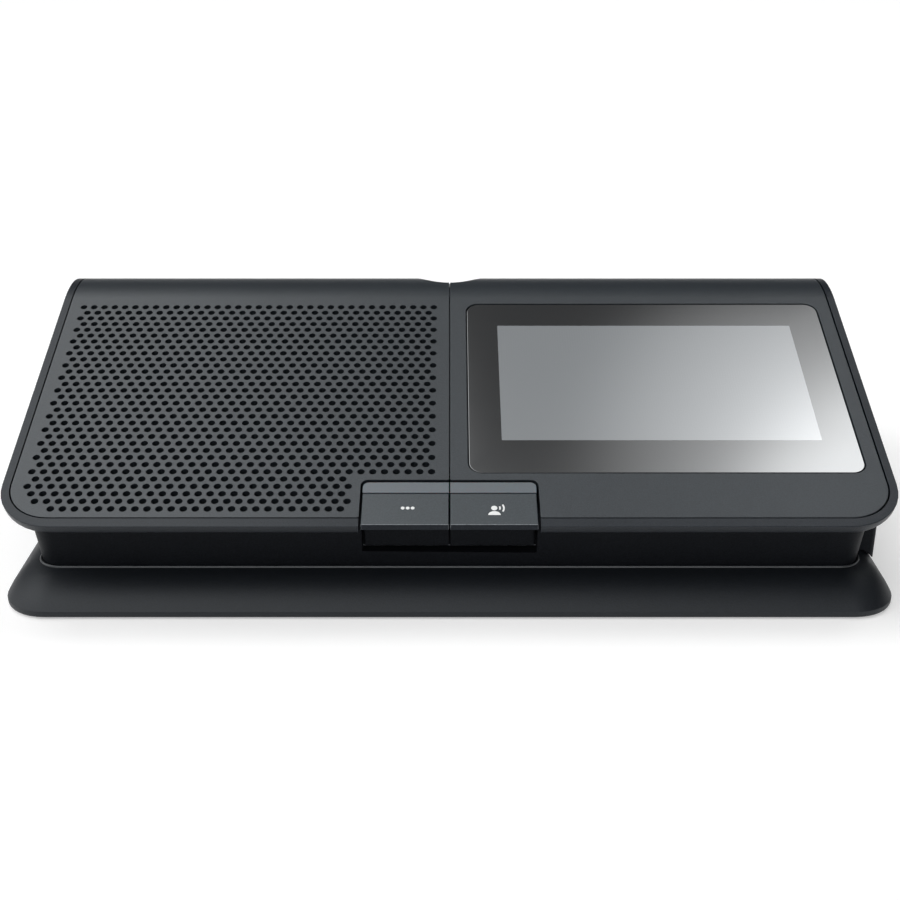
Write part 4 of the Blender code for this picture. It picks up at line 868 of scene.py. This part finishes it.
def key_cap(word, sizes):
    """Key cap: the CAD form with rounded edges; its lip and skirt are duller and painted darker as shade, and
    its front edge is painted pale as a highlight.
    """
    upright, leaning = -0.8, -0.2

    def part_of_cap(middle, normal):
        """0 for the top and the sides, 1 for the skirt, 2 for the lip and 3 for the front edge; 1 and 2 carry
        painted shade, 3 a painted highlight.
        """
        if middle.z < -KEY_LIP_DROP:
            return 1
        if normal.y < upright:
            return 2
        return 3 if normal.y < leaning and middle.y < 0 else 0

    form = placed(copied(word + "_key"), COVER_FRAME.inverted())
    step = KEY_REAR - LIGHT_LENGTH - MERGE
    soften(form, sizes.key_round, 3, where=lambda edge: min(vert.co.y for vert in edge.verts) < step)
    # The skirt and the lip get darker tones, painted shade, and the front edge a pale one, a painted
    # highlight.
    choose_finishes(form, part_of_cap)
    add_piece(word + "_cap", placed(form, COVER_FRAME), ["key_abs", "skirt_abs", "lip_abs", "edge_abs"],
              [word + "_key"], word + "_button")


def light_bar(word, side):
    """Frosted bar along the rear of a key, its outer rear corner rounded."""
    inner, outer = side * (KEY_CENTRE - KEY_HALF), side * (KEY_CENTRE + KEY_HALF)
    front = KEY_REAR - LIGHT_LENGTH
    corners = [(inner, front, 0), (outer, front, 0), (outer, KEY_REAR, KEY_CORNER_RADIUS),
               (inner, KEY_REAR, 0)]
    form = tidy(thicken(flat_form([corners]), LIGHT_THICKNESS))
    soften(form, LIGHT_EDGE, 3, where=at_height(0.0))
    add_piece(word + "_bar", placed(form, COVER_FRAME), ["frosted_pc"], [word + "_light"],
              word + "_button")


def ink(form):
    """Gives a flat mark the thickness of a coat of ink, standing on the key's top."""
    return placed(thicken(form, INK_THICKNESS, INK_THICKNESS * INK_PROUD), COVER_FRAME)


def disc(centre, radius):
    form = bmesh.new()
    bmesh.ops.create_circle(form, cap_ends=True, segments=ROUND_SIDES // 2, radius=radius,
                            matrix=Matrix.Translation((*centre, 0)))
    return form


def menu_mark(sizes):
    """Three dots in a row."""
    across, along, spacing = -0.01179, 0.00365, 0.0014
    dots = [ink(disc((across + i * spacing, along), sizes.dot_size / 2)) for i in (-1, 0, 1)]
    add_piece("menu_mark", joined(*dots), ["mark_ink"], body="menu_button")


def arc_band(centre, radius, width, angle):
    """Flat band along an arc that opens to the right."""
    form = bmesh.new()
    ends = [form.verts.new((centre[0] + radius + side * width / 2, centre[1], 0)) for side in (-1, 1)]
    edge = form.edges.new(ends)
    bmesh.ops.rotate(form, verts=ends, cent=(*centre, 0), matrix=Matrix.Rotation(-angle, 3, "Z"))
    bmesh.ops.spin(form, geom=ends + [edge], cent=(*centre, 0), axis=(0, 0, 1), angle=angle * 2,
                   steps=ARC_STEPS)
    return form


def speak_mark(sizes):
    """Speaking head: a disc, a dome for the shoulders and two arcs of sound."""
    centre, floor = (0.01258, 0.00366), 0.00098
    shoulder_radius, flatness = 0.00176, 0.84
    shoulders = disc((centre[0], floor), shoulder_radius)
    bmesh.ops.scale(shoulders, vec=(1, flatness, 1), space=Matrix.Translation((0, -floor, 0)),
                    verts=shoulders.verts[:])
    cut_across(shoulders, (0, floor + MERGE * 2, 0), (0, -1, 0), clear_outer=True)
    shapes = [disc(centre, sizes.mark_size / 2), shoulders,
              arc_band(centre, 0.00163, 0.00044, math.radians(22)),
              arc_band(centre, 0.00272, 0.00048, math.radians(29))]
    add_piece("speak_mark", joined(*[ink(shape) for shape in shapes]), ["mark_ink"],
              body="speak_button")


# Neck and base


def neck_shell():
    """Lower housing with the front edge of the keys' ledge broken and painted pale, a painted highlight."""
    reach, upright, leaning = KEY_FIELD_HALF * 1.1, -0.95, -0.3
    form = copied("lower_housing")
    soften(form, LEDGE_ROUND, 2, where=lambda edge: all(
        abs(vert.co.z - KEY_LEDGE_HEIGHT) < MERGE and abs(vert.co.x) < reach for vert in edge.verts))
    # The ledge's rounded front edge gets the pale tone, a painted highlight.
    choose_finishes(form, lambda middle, normal: (
        abs(middle.z - KEY_LEDGE_HEIGHT) < LEDGE_ROUND + 2 * MERGE and abs(middle.x) < KEY_FIELD_HALF
        and upright < normal.y < leaning))
    add_piece("neck_shell", form, ["neck_abs", "edge_abs"], ["lower_housing"])


def card_pod():
    form = soften(copied("card_reader"), 0.0006, 3)
    add_piece("card_pod", form, ["neck_abs"], ["card_reader"])


def base_outline(share, offset):
    """Corners between the neck's foot (share 0) and the base's outer edge (share 1)."""
    bead = BEAD_WIDTH + SEAM_GAP
    foot = (NECK_FOOT_HALF + bead, NECK_FOOT_FRONT - bead, NECK_REAR + bead, NECK_CORNER_RADIUS + bead)
    edge = (BASE_HALF, BASE_FRONT, BASE_REAR, BASE_CORNER_RADIUS)
    half, front, rear, radius = [a * (1 - share) + b * share for a, b in zip(foot, edge)]
    return rectangle((-half - offset, SEAM_Y + front - offset), (half + offset, SEAM_Y + rear + offset),
                     radius + offset)


def base_skirt():
    """Flared base with a bead round the neck's foot, hollow from above; the bead's top is glossier and
    painted lighter, a painted highlight.
    """
    chamfer, steps = 0.0007, 16
    edge = BASE_LIFT + BASE_EDGE
    rings = [(base_outline(1, -chamfer * inward), BASE_LIFT + chamfer * up)
             for inward, up in ((1, 0), (0.3, 0.3), (0, 1))]
    for step in range(steps, -1, -1):
        share = step / steps
        rings.append((base_outline(share, 0), FOOT_LINE - (FOOT_LINE - edge) * share ** FLARE_POWER))
    for part in (0.1, 0.3, 0.5, 0.7, 0.9):
        rise = BEAD_RISE * math.sin(math.pi * part) ** 0.5
        rings.append((base_outline(0, -BEAD_WIDTH * part), FOOT_LINE + rise))
    rings.append((base_outline(0, -BEAD_WIDTH), FOOT_LINE - SEAM_GAP))
    rings.append((base_outline(0, -PAN_WALL), FOOT_LINE - SEAM_GAP))
    rings.append((base_outline(0, -PAN_WALL), PAN_FLOOR))
    screws, feet = [[node_middle(node % index) for index in range(1, 5)]
                    for node in ("base_screw_%d", "foot_%d")]
    posts = [rod(POST_DIAMETER / 2, PAN_FLOOR / 2, FOOT_LINE - SEAM_GAP * 2, place) for place in screws]
    form = carved(lofted(rings), posts, "UNION")
    cuts = [rod(diameter / 2 + FIT, -OVERRUN, top, place) for diameter, top, places in (
        (SCREW_SHANK, FOOT_LINE + OVERRUN, screws),
        (SCREW_HEAD, SCREW_SEAT, screws),
        (FOOT_DIAMETER, FOOT_THICKNESS + FIT, feet),
    ) for place in places]
    # The bead's top faces get the lighter tone, a painted highlight.
    form = choose_finishes(carved(form, cuts), lambda middle, normal: middle.z > FOOT_LINE + BEAD_RISE / 5)
    add_piece("base_skirt", form, ["base_abs", "bead_abs"], ["base_pan"])


def base_screw(index):
    """Pan-head screw with a cross recess, its head at the bottom of its sink."""
    node = "base_screw_%d" % index
    head, shank, low = SCREW_HEAD / 2, SCREW_SHANK / 2, SCREW_SEAT - SCREW_HEAD_HEIGHT
    form = turned([(0, low), (head * 0.55, low + 0.00005), (head * 0.85, low + 0.0003), (head, low + 0.0009),
                   (head, SCREW_SEAT), (shank, SCREW_SEAT), (shank, SCREW_TOP - shank), (0, SCREW_TOP)])
    reach, half, deep = head * 0.62, 0.00042, low + 0.0011
    cross = [block((-x, -y, low - OVERRUN), (x, y, deep)) for x, y in ((reach, half), (half, reach))]
    form = placed(carved(form, cross), Matrix.Translation((*node_middle(node), 0)))
    add_piece("case_screw_%d" % index, form, ["zinc_steel"], [node])


def rubber_foot(index):
    """Round foot with a rounded edge and a shallow groove in its underside."""
    node, radius = "foot_%d" % index, FOOT_DIAMETER / 2
    form = turned([(0, 0.0003), (radius - 0.0024, 0.0003), (radius - 0.0022, 0), (radius - 0.0005, 0),
                   (radius - 0.00015, 0.00015), (radius, 0.0005), (radius, FOOT_THICKNESS),
                   (0, FOOT_THICKNESS)])
    form = placed(form, Matrix.Translation((*node_middle(node), 0)))
    add_piece("round_foot_%d" % index, form, ["foot_rubber"], [node])


# Sockets


def network_jack(index):
    """Shielded jack with its edges broken and eight spring contacts under the roof of its mouth."""
    name = "network_port_%d" % index
    add_piece("port_shield_%d" % index, soften(copied(name), 0.0002), ["tinned_steel"], [name])
    radius, half_length, lean = 0.00023, 0.0035, math.radians(-68)
    low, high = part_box(name)
    springs = []
    for contact in range(CONTACTS):
        across = (low.x + high.x) / 2 + (contact - (CONTACTS - 1) / 2) * CONTACT_PITCH
        stand = Matrix.Translation((across, PORT_REAR - CONTACT_INSET, high.z - CONTACT_DROP))
        springs.append(placed(rod(radius, -half_length, half_length, sides=8),
                              stand @ Matrix.Rotation(lean, 4, "X")))
    add_piece("port_contacts_%d" % index, joined(*springs), ["gold_contact"])


def headphone_socket():
    """Moulded jack with a rounded mouth and a sprung metal ring inside its bore."""
    name = "headphone_jack"
    add_piece("headphone_socket", soften(copied(name), 0.0003, 3), ["socket_pbt"], [name])
    outer, inner = JACK_BORE / 2 - 0.00005, JACK_BORE / 2 - 0.00035
    ring = turned([(inner, -0.0002), (outer, -0.0004), (outer, 0.0004), (inner, 0.0002), (inner, -0.0002)])
    low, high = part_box(name)
    place = Matrix.Translation((JACK_DEPTH - JACK_WALL, (low.y + high.y) / 2, (high.z + low.z) / 2))
    ring = placed(ring, place @ Matrix.Rotation(math.pi / 2, 4, "Y"))
    add_piece("headphone_contact", ring, ["tinned_steel"])


def socket_pins():
    """Contacts of the microphone socket: a moulded disc with three plated, round-ended pins."""
    form = placed(copied("socket_contacts"), socket_frame().inverted())
    tips = max(vert.co.z for vert in form.verts)
    soften(form, 0.0003, 3, where=at_height(tips))
    choose_finishes(form, lambda middle, normal: middle.z > tips - PIN_HEIGHT + MERGE)
    add_piece("socket_pins", placed(form, socket_frame()), ["socket_pbt", "gold_contact"],
              ["socket_contacts"])


def socket_insert():
    """Insert of the microphone socket: a chamfered mouth, a bore and a raised inner ring."""
    outer, bore, floor, back = SOCKET_RECESS / 2 - SEAM_GAP, SOCKET_BORE / 2, -0.0125, -0.016
    profile = [(0, floor), (bore, floor), (bore, -0.0012), (bore + 0.0002, -0.0006), (bore + 0.0008, 0),
               (bore + 0.0016, 0), (bore + 0.0018, -0.0002), (bore + 0.0022, -0.0002), (bore + 0.0024, 0),
               (outer - 0.0004, 0), (outer - 0.0001, -0.0001), (outer, -0.0004), (outer, back), (0, back)]
    form = placed(turned(profile), socket_frame() @ Matrix.Translation((0, 0, -SOCKET_DEPTH)))
    add_piece("socket_insert", form, ["socket_pbt"], ["microphone_socket"])


def dress_nodes():
    """Finishes for the CAD nodes that stay as they are."""
    finishes = {
        "display_panel": "lens_screen",
        "speaker_frame": "pressed_steel",
        "speaker_cone": "cone_pulp",
        "speaker_magnet": "ferrite",
        "key_board": "solder_resist",
        "main_board": "solder_resist",
        "menu_switch": "switch_pa",
        "speak_switch": "switch_pa",
    }
    for node, name in finishes.items():
        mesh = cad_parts[node].data
        mesh.materials.clear()
        mesh.materials.append(finish(name))


# Stage


def add_camera():
    data = bpy.data.cameras.new("photo_camera")
    data.lens = CAMERA_LENS
    data.sensor_width = CAMERA_SENSOR
    data.shift_x = CAMERA_SHIFT
    data.clip_start = 0.01
    camera = bpy.data.objects.new("photo_camera", data)
    camera.location = (0, SEAM_Y - CAMERA_BACK, SEAM_HEIGHT + CAMERA_RISE)
    camera.rotation_euler = (math.pi / 2 - CAMERA_PITCH, 0, 0)
    bpy.context.scene.collection.objects.link(camera)
    bpy.context.scene.camera = camera


def seen_or_mirrored(tree):
    """1 for rays that come from the camera, a reflection or a clear piece."""
    rays = add_node(tree, "ShaderNodeLightPath").outputs
    first = combine(tree, "MAXIMUM", rays["Is Camera Ray"], rays["Is Glossy Ray"])
    return combine(tree, "MAXIMUM", first, rays["Is Transmission Ray"])


def add_backdrop():
    """Pale floor that rises to a low rim far away: white where it is seen or mirrored.

    Near the unit it takes the unit's shadow; far away it is plain white."""
    radius, rise = 6.0, 1.5
    bowl = turned([(0, 0), (radius, 0), (radius + rise / 2, rise / 4), (radius + rise, rise)])
    floor = new_object("floor", bowl)
    material = bpy.data.materials.new("pale_floor")
    material.use_nodes = True
    tree = material.node_tree
    tree.nodes.clear()
    seen = seen_or_mirrored(tree)
    white, pale, dim = (1, 1, 1, 1), (0.75, 0.75, 0.75, 1), (0.45, 0.45, 0.45, 1)
    lit = add_node(tree, "ShaderNodeBsdfDiffuse", {"Color": pale})
    glow = add_node(tree, "ShaderNodeEmission", {"Color": white, "Strength": 0.36})
    near = add_node(tree, "ShaderNodeAddShader", None, {0: lit.outputs["BSDF"], 1: glow.outputs["Emission"]})
    plain = add_node(tree, "ShaderNodeEmission", {"Color": white, "Strength": 1.0})
    place = add_node(tree, "ShaderNodeTexCoord").outputs["Object"]
    reach = add_node(tree, "ShaderNodeVectorMath", {"operation": "LENGTH"}, {0: place})
    far = add_node(tree, "ShaderNodeMapRange", {"From Min": 1.0, "From Max": 2.5},
                   {"Value": reach.outputs["Value"]})
    ground = add_node(tree, "ShaderNodeMixShader", None,
                      {0: far.outputs["Result"], 1: near.outputs["Shader"], 2: plain.outputs["Emission"]})
    bounce = add_node(tree, "ShaderNodeBsdfDiffuse", {"Color": dim})
    mix = add_node(tree, "ShaderNodeMixShader", None,
                   {0: seen, 1: bounce.outputs["BSDF"], 2: ground.outputs["Shader"]})
    add_node(tree, "ShaderNodeOutputMaterial", None, {"Surface": mix.outputs["Shader"]})
    floor.data.materials.append(material)


def soft_patch(tree, direction, azimuth, elevation, reach, strength):
    """Soft light of the world round one direction, gone at an angle of reach from it."""
    turn, rise = math.radians(azimuth), math.radians(elevation)
    towards = (math.sin(turn) * math.cos(rise), math.cos(turn) * math.cos(rise), math.sin(rise))
    near = add_node(tree, "ShaderNodeVectorMath", {"operation": "DOT_PRODUCT", 1: towards}, {0: direction})
    return add_node(tree, "ShaderNodeMapRange",
                    {"interpolation_type": "SMOOTHERSTEP", "From Min": math.cos(math.radians(reach)),
                     "From Max": 1.0, "To Min": 0.0, "To Max": strength},
                    {"Value": near.outputs["Value"]}).outputs["Result"]


def add_world():
    """Studio of soft lights, most of them to the left, with a small bright one that the lens mirrors."""
    world = bpy.data.worlds.new("studio")
    world.use_nodes = True
    bpy.context.scene.world = world
    tree = world.node_tree
    tree.nodes.clear()
    direction = add_node(tree, "ShaderNodeTexCoord").outputs["Generated"]
    level = soft_patch(tree, direction, *STUDIO_LIGHTS[0])
    for light in STUDIO_LIGHTS[1:]:
        level = combine(tree, "ADD", level, soft_patch(tree, direction, *light))
    light = add_node(tree, "ShaderNodeBackground", {"Color": (1, 1, 1, 1)}, {"Strength": level})
    add_node(tree, "ShaderNodeOutputWorld", None, {"Surface": light.outputs["Background"]})


# Operators


class UnitOperator:
    """What the operators share: each can be undone."""

    bl_options = {"REGISTER", "UNDO"}


class DELEGATE_OT_covers(UnitOperator, bpy.types.Operator):
    """Adds the perforated cover, its cloth and the display's surround"""

    bl_idname = "delegate_unit.covers"
    bl_label = "Top covers"

    def execute(self, context):
        sizes = context.scene.delegate_unit_sizes
        speaker_grille(sizes)
        grille_cloth()
        display_surround(sizes)
        return {"FINISHED"}


class DELEGATE_OT_display(UnitOperator, bpy.types.Operator):
    """Adds the display's lens with its lit area"""

    bl_idname = "delegate_unit.display"
    bl_label = "Display"

    def execute(self, context):
        display_lens(context.scene.delegate_unit_sizes)
        return {"FINISHED"}


class DELEGATE_OT_tray(UnitOperator, bpy.types.Operator):
    """Adds the tray with its rim and the rear shell"""

    bl_idname = "delegate_unit.tray"
    bl_label = "Tray and rear shell"

    def execute(self, context):
        rim_tray()
        rear_shell()
        return {"FINISHED"}


class DELEGATE_OT_keys(UnitOperator, bpy.types.Operator):
    """Adds the two keys with their light bars and marks"""

    bl_idname = "delegate_unit.keys"
    bl_label = "Keys"

    def execute(self, context):
        sizes = context.scene.delegate_unit_sizes
        for word, side in (("menu", -1), ("speak", 1)):
            key_cap(word, sizes)
            light_bar(word, side)
        menu_mark(sizes)
        speak_mark(sizes)
        return {"FINISHED"}


class DELEGATE_OT_body(UnitOperator, bpy.types.Operator):
    """Adds the neck, the card reader, the flared base, its screws and its feet"""

    bl_idname = "delegate_unit.body"
    bl_label = "Neck and base"

    def execute(self, context):
        neck_shell()
        card_pod()
        base_skirt()
        for index in range(1, 5):
            base_screw(index)
            rubber_foot(index)
        return {"FINISHED"}


class DELEGATE_OT_sockets(UnitOperator, bpy.types.Operator):
    """Adds the microphone socket's insert and pins, the network ports and the headphone socket"""

    bl_idname = "delegate_unit.sockets"
    bl_label = "Sockets"

    def execute(self, context):
        socket_insert()
        socket_pins()
        headphone_socket()
        for index in (1, 2):
            network_jack(index)
        return {"FINISHED"}


class DELEGATE_OT_finishes(UnitOperator, bpy.types.Operator):
    """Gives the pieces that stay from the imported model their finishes"""

    bl_idname = "delegate_unit.finishes"
    bl_label = "Finishes of kept pieces"

    def execute(self, context):
        dress_nodes()
        return {"FINISHED"}


class DELEGATE_OT_stage(UnitOperator, bpy.types.Operator):
    """Adds the camera, the floor and the studio's soft lights"""

    bl_idname = "delegate_unit.stage"
    bl_label = "Stage"

    def execute(self, context):
        add_camera()
        add_backdrop()
        add_world()
        context.scene.view_settings.view_transform = "Standard"
        return {"FINISHED"}


STEPS = ("covers", "display", "tray", "keys", "body", "sockets", "finishes", "stage")


class DELEGATE_PT_panel(bpy.types.Panel):
    """Sizes, colours and steps of the delegate unit"""

    bl_idname = "DELEGATE_PT_panel"
    bl_label = "Conference delegate unit"
    bl_space_type = "VIEW_3D"
    bl_region_type = "UI"
    bl_category = "Delegate unit"

    def draw(self, context):
        for group in (context.scene.delegate_unit_sizes, context.scene.delegate_unit_colours):
            box = self.layout.box()
            for name in group.__annotations__:
                box.prop(group, name)
        for step in STEPS:
            self.layout.operator("delegate_unit." + step)


CLASSES = (
    DelegateUnitSizes,
    DelegateUnitColours,
    DELEGATE_OT_covers,
    DELEGATE_OT_display,
    DELEGATE_OT_tray,
    DELEGATE_OT_keys,
    DELEGATE_OT_body,
    DELEGATE_OT_sockets,
    DELEGATE_OT_finishes,
    DELEGATE_OT_stage,
    DELEGATE_PT_panel,
)


def register():
    for item in CLASSES:
        bpy.utils.register_class(item)
    bpy.types.Scene.delegate_unit_sizes = bpy.props.PointerProperty(type=DelegateUnitSizes)
    bpy.types.Scene.delegate_unit_colours = bpy.props.PointerProperty(type=DelegateUnitColours)


def unregister():
    del bpy.types.Scene.delegate_unit_colours
    del bpy.types.Scene.delegate_unit_sizes
    for item in reversed(CLASSES):
        bpy.utils.unregister_class(item)


def main():
    register()
    for step in STEPS:
        getattr(bpy.ops.delegate_unit, step)()


if __name__ == "__main__":
    main()
